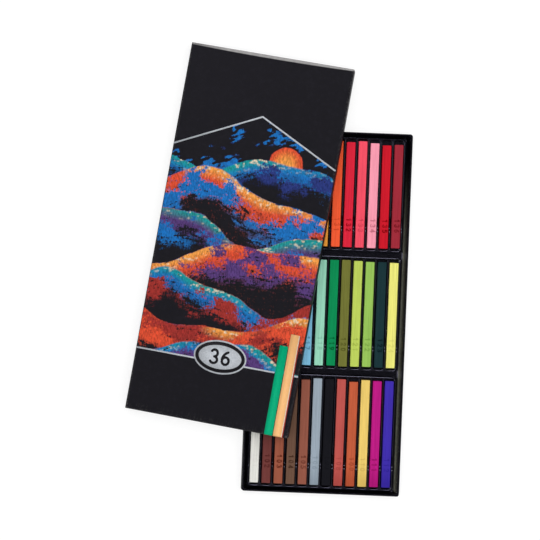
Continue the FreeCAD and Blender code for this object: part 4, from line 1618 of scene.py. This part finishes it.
@dataclass
class Studio:
    """A plain white sweep, a soft sky that is brightest overhead, one large lamp and the camera."""

    eye: tuple[float, float, float] = (-51.2, 35.0, 1511.0)
    roll: float = 2.25
    frame_width: float = 469.2
    frame_distance: float = 1500.0
    sensor: float = 36.0
    lamp: tuple[float, float, float] = (0.9, 0.5, 1.4)
    lamp_size: float = 0.8
    lamp_power: float = 4.05
    sky: tuple[tuple[float, float], ...] = ((0.0, 0.15), (0.5, 0.25), (0.85, 0.85), (1.0, 3.4))
    mirrored_sky: tuple[tuple[float, float], ...] = (
        (0.0, 1.0), (0.15, 1.0), (0.35, 0.45), (0.88, 0.1), (1.0, 0.04)
    )
    far_window: tuple[float, ...] = (-0.25, 0.8, 0.6, 0.90, 0.95, 10.0)
    left_window: tuple[float, ...] = (-0.8, 0.1, 0.6, 0.70, 0.97, 1.4)
    floor_half: float = 8.0
    floor_colour: float = 0.75
    floor_glow: float = 0.74
    floor_shade: float = 0.31

    def floor(self) -> bpy.types.Object:
        """The floor: white to the eye and to reflections, and pale to the light it passes on."""
        mesh, far = bpy.data.meshes.new("studio_floor"), self.floor_half
        corners = [(-far, -far, 0), (far, -far, 0), (far, far, 0), (-far, far, 0)]
        mesh.from_pydata(corners, [], [(0, 1, 2, 3)])
        floor = in_scene("studio_floor", mesh)
        material = bpy.data.materials.new("white_sweep")
        material.use_nodes = True
        tree = material.node_tree
        tree.nodes.clear()
        make = tree.nodes.new
        output, path = make("ShaderNodeOutputMaterial"), make("ShaderNodeLightPath")
        plain, shown = make("ShaderNodeBsdfDiffuse"), make("ShaderNodeBsdfDiffuse")
        glow = make("ShaderNodeEmission")
        plain.inputs["Color"].default_value = (self.floor_colour,) * 3 + (1,)
        shown.inputs["Color"].default_value = (self.floor_shade,) * 3 + (1,)
        glow.inputs["Strength"].default_value = self.floor_glow
        both, choice = make("ShaderNodeAddShader"), make("ShaderNodeMixShader")
        first, second = make("ShaderNodeMath"), make("ShaderNodeMath")
        second.use_clamp = True
        links = [
            (path.outputs["Is Camera Ray"], first.inputs[0]),
            (path.outputs["Is Glossy Ray"], first.inputs[1]),
            (first.outputs[0], second.inputs[0]),
            (path.outputs["Is Transmission Ray"], second.inputs[1]),
            (second.outputs[0], choice.inputs[0]),
            (plain.outputs[0], choice.inputs[1]),
            (shown.outputs[0], both.inputs[0]),
            (glow.outputs[0], both.inputs[1]),
            (both.outputs[0], choice.inputs[2]),
            (choice.outputs[0], output.inputs["Surface"]),
        ]
        for source, target in links:
            tree.links.new(source, target)
        mesh.materials.append(material)
        return floor

    def window(self, w: Wiring, direction: object, window: tuple[float, ...]) -> object:
        """A soft-edged round window: its brightness by the cosine of the angle from its middle.

        Args:
            w: The world's node tree.
            direction: The direction looked in.
            window: Its middle's direction, the cosines where it starts and is full, its level.

        Returns:
            The brightness.
        """
        toward = Vector(window[:3]).normalized()
        dot = w.nodes.new("ShaderNodeVectorMath")
        dot.operation = "DOT_PRODUCT"
        w.feed(dot, {0: direction, 1: toward})
        start, full, level = window[3:]
        return w.scaled(w.rise(dot.outputs["Value"], start, full), level)

    def world(self) -> None:
        """Two skies whose brightness follows the sine of the elevation.

        The first lights the box, mostly from overhead. The eye sees plain white instead. Glossy
        surfaces mirror the second, which is the same white near the horizon and dark overhead, with
        a bright window beyond the box and a soft one on the left.
        """
        world = bpy.data.worlds.new("soft_studio")
        bpy.context.scene.world = world
        world.use_nodes = True
        w = Wiring(world.node_tree)
        place, split = w.nodes.new("ShaderNodeTexCoord"), w.nodes.new("ShaderNodeSeparateXYZ")
        path = w.nodes.new("ShaderNodeLightPath")
        w.join(place.outputs["Generated"], split, 0)
        peak = max(level for _, level in self.sky)
        even = w.ramp(split.outputs["Z"], [(at, level / peak) for at, level in self.sky])
        mirrored = w.ramp(split.outputs["Z"], list(self.mirrored_sky))
        for window in (self.far_window, self.left_window):
            mirrored = w.scaled(self.window(w, place.outputs["Generated"], window), 1.0, mirrored)
        strength = w.mix_value(path.outputs["Is Glossy Ray"], w.scaled(even, peak), mirrored)
        seen = w.scaled(path.outputs["Is Transmission Ray"], 1.0, path.outputs["Is Camera Ray"])
        w.join(w.mix_value(seen, strength, 1.0), w.nodes["Background"], "Strength")
        w.nodes["Background"].inputs["Color"].default_value = (1, 1, 1, 1)

    def lights(self) -> None:
        """One large soft lamp above the box on its far right, aimed at it."""
        data = bpy.data.lights.new("key_lamp", "AREA")
        data.shape, data.size, data.energy = "SQUARE", self.lamp_size, self.lamp_power
        lamp = in_scene("key_lamp", data)
        lamp.location = self.lamp
        lamp.rotation_euler = (-Vector(self.lamp)).to_track_quat("-Z", "Y").to_euler()

    def camera(self) -> None:
        """The camera, straight above the box and turned a little about its own axis."""
        data = bpy.data.cameras.new("camera")
        data.sensor_width = self.sensor
        data.lens = self.sensor * self.frame_distance / self.frame_width
        data.clip_start, data.clip_end = 0.01, 50
        camera = in_scene("camera", data)
        camera.location = Vector(self.eye) * MM
        camera.rotation_euler = (0, 0, math.radians(self.roll))
        bpy.context.scene.camera = camera

    def build(self) -> None:
        """Set up the floor, the light, the camera and the plain colour management."""
        bpy.context.scene.view_settings.view_transform = "Standard"
        self.floor()
        self.world()
        self.lights()
        self.camera()


def main() -> None:
    """Build every piece, the studio and the camera, and log each piece's number of faces."""
    logging.basicConfig(level=logging.INFO, format="%(message)s")
    Studio().build()
    tray = FormedTray().build()
    log.info("%s: %d faces", tray.name, len(tray.data.polygons))
    for place, pastel in enumerate(Pastel):
        stick = PastelStick(pastel, 101 + place).build()
        log.info("%s: %d faces", stick.name, len(stick.data.polygons))
    for piece in WrappedLid().build():
        log.info("%s: %d faces", piece.name, len(piece.data.polygons))


if __name__ == "__main__":
    main()
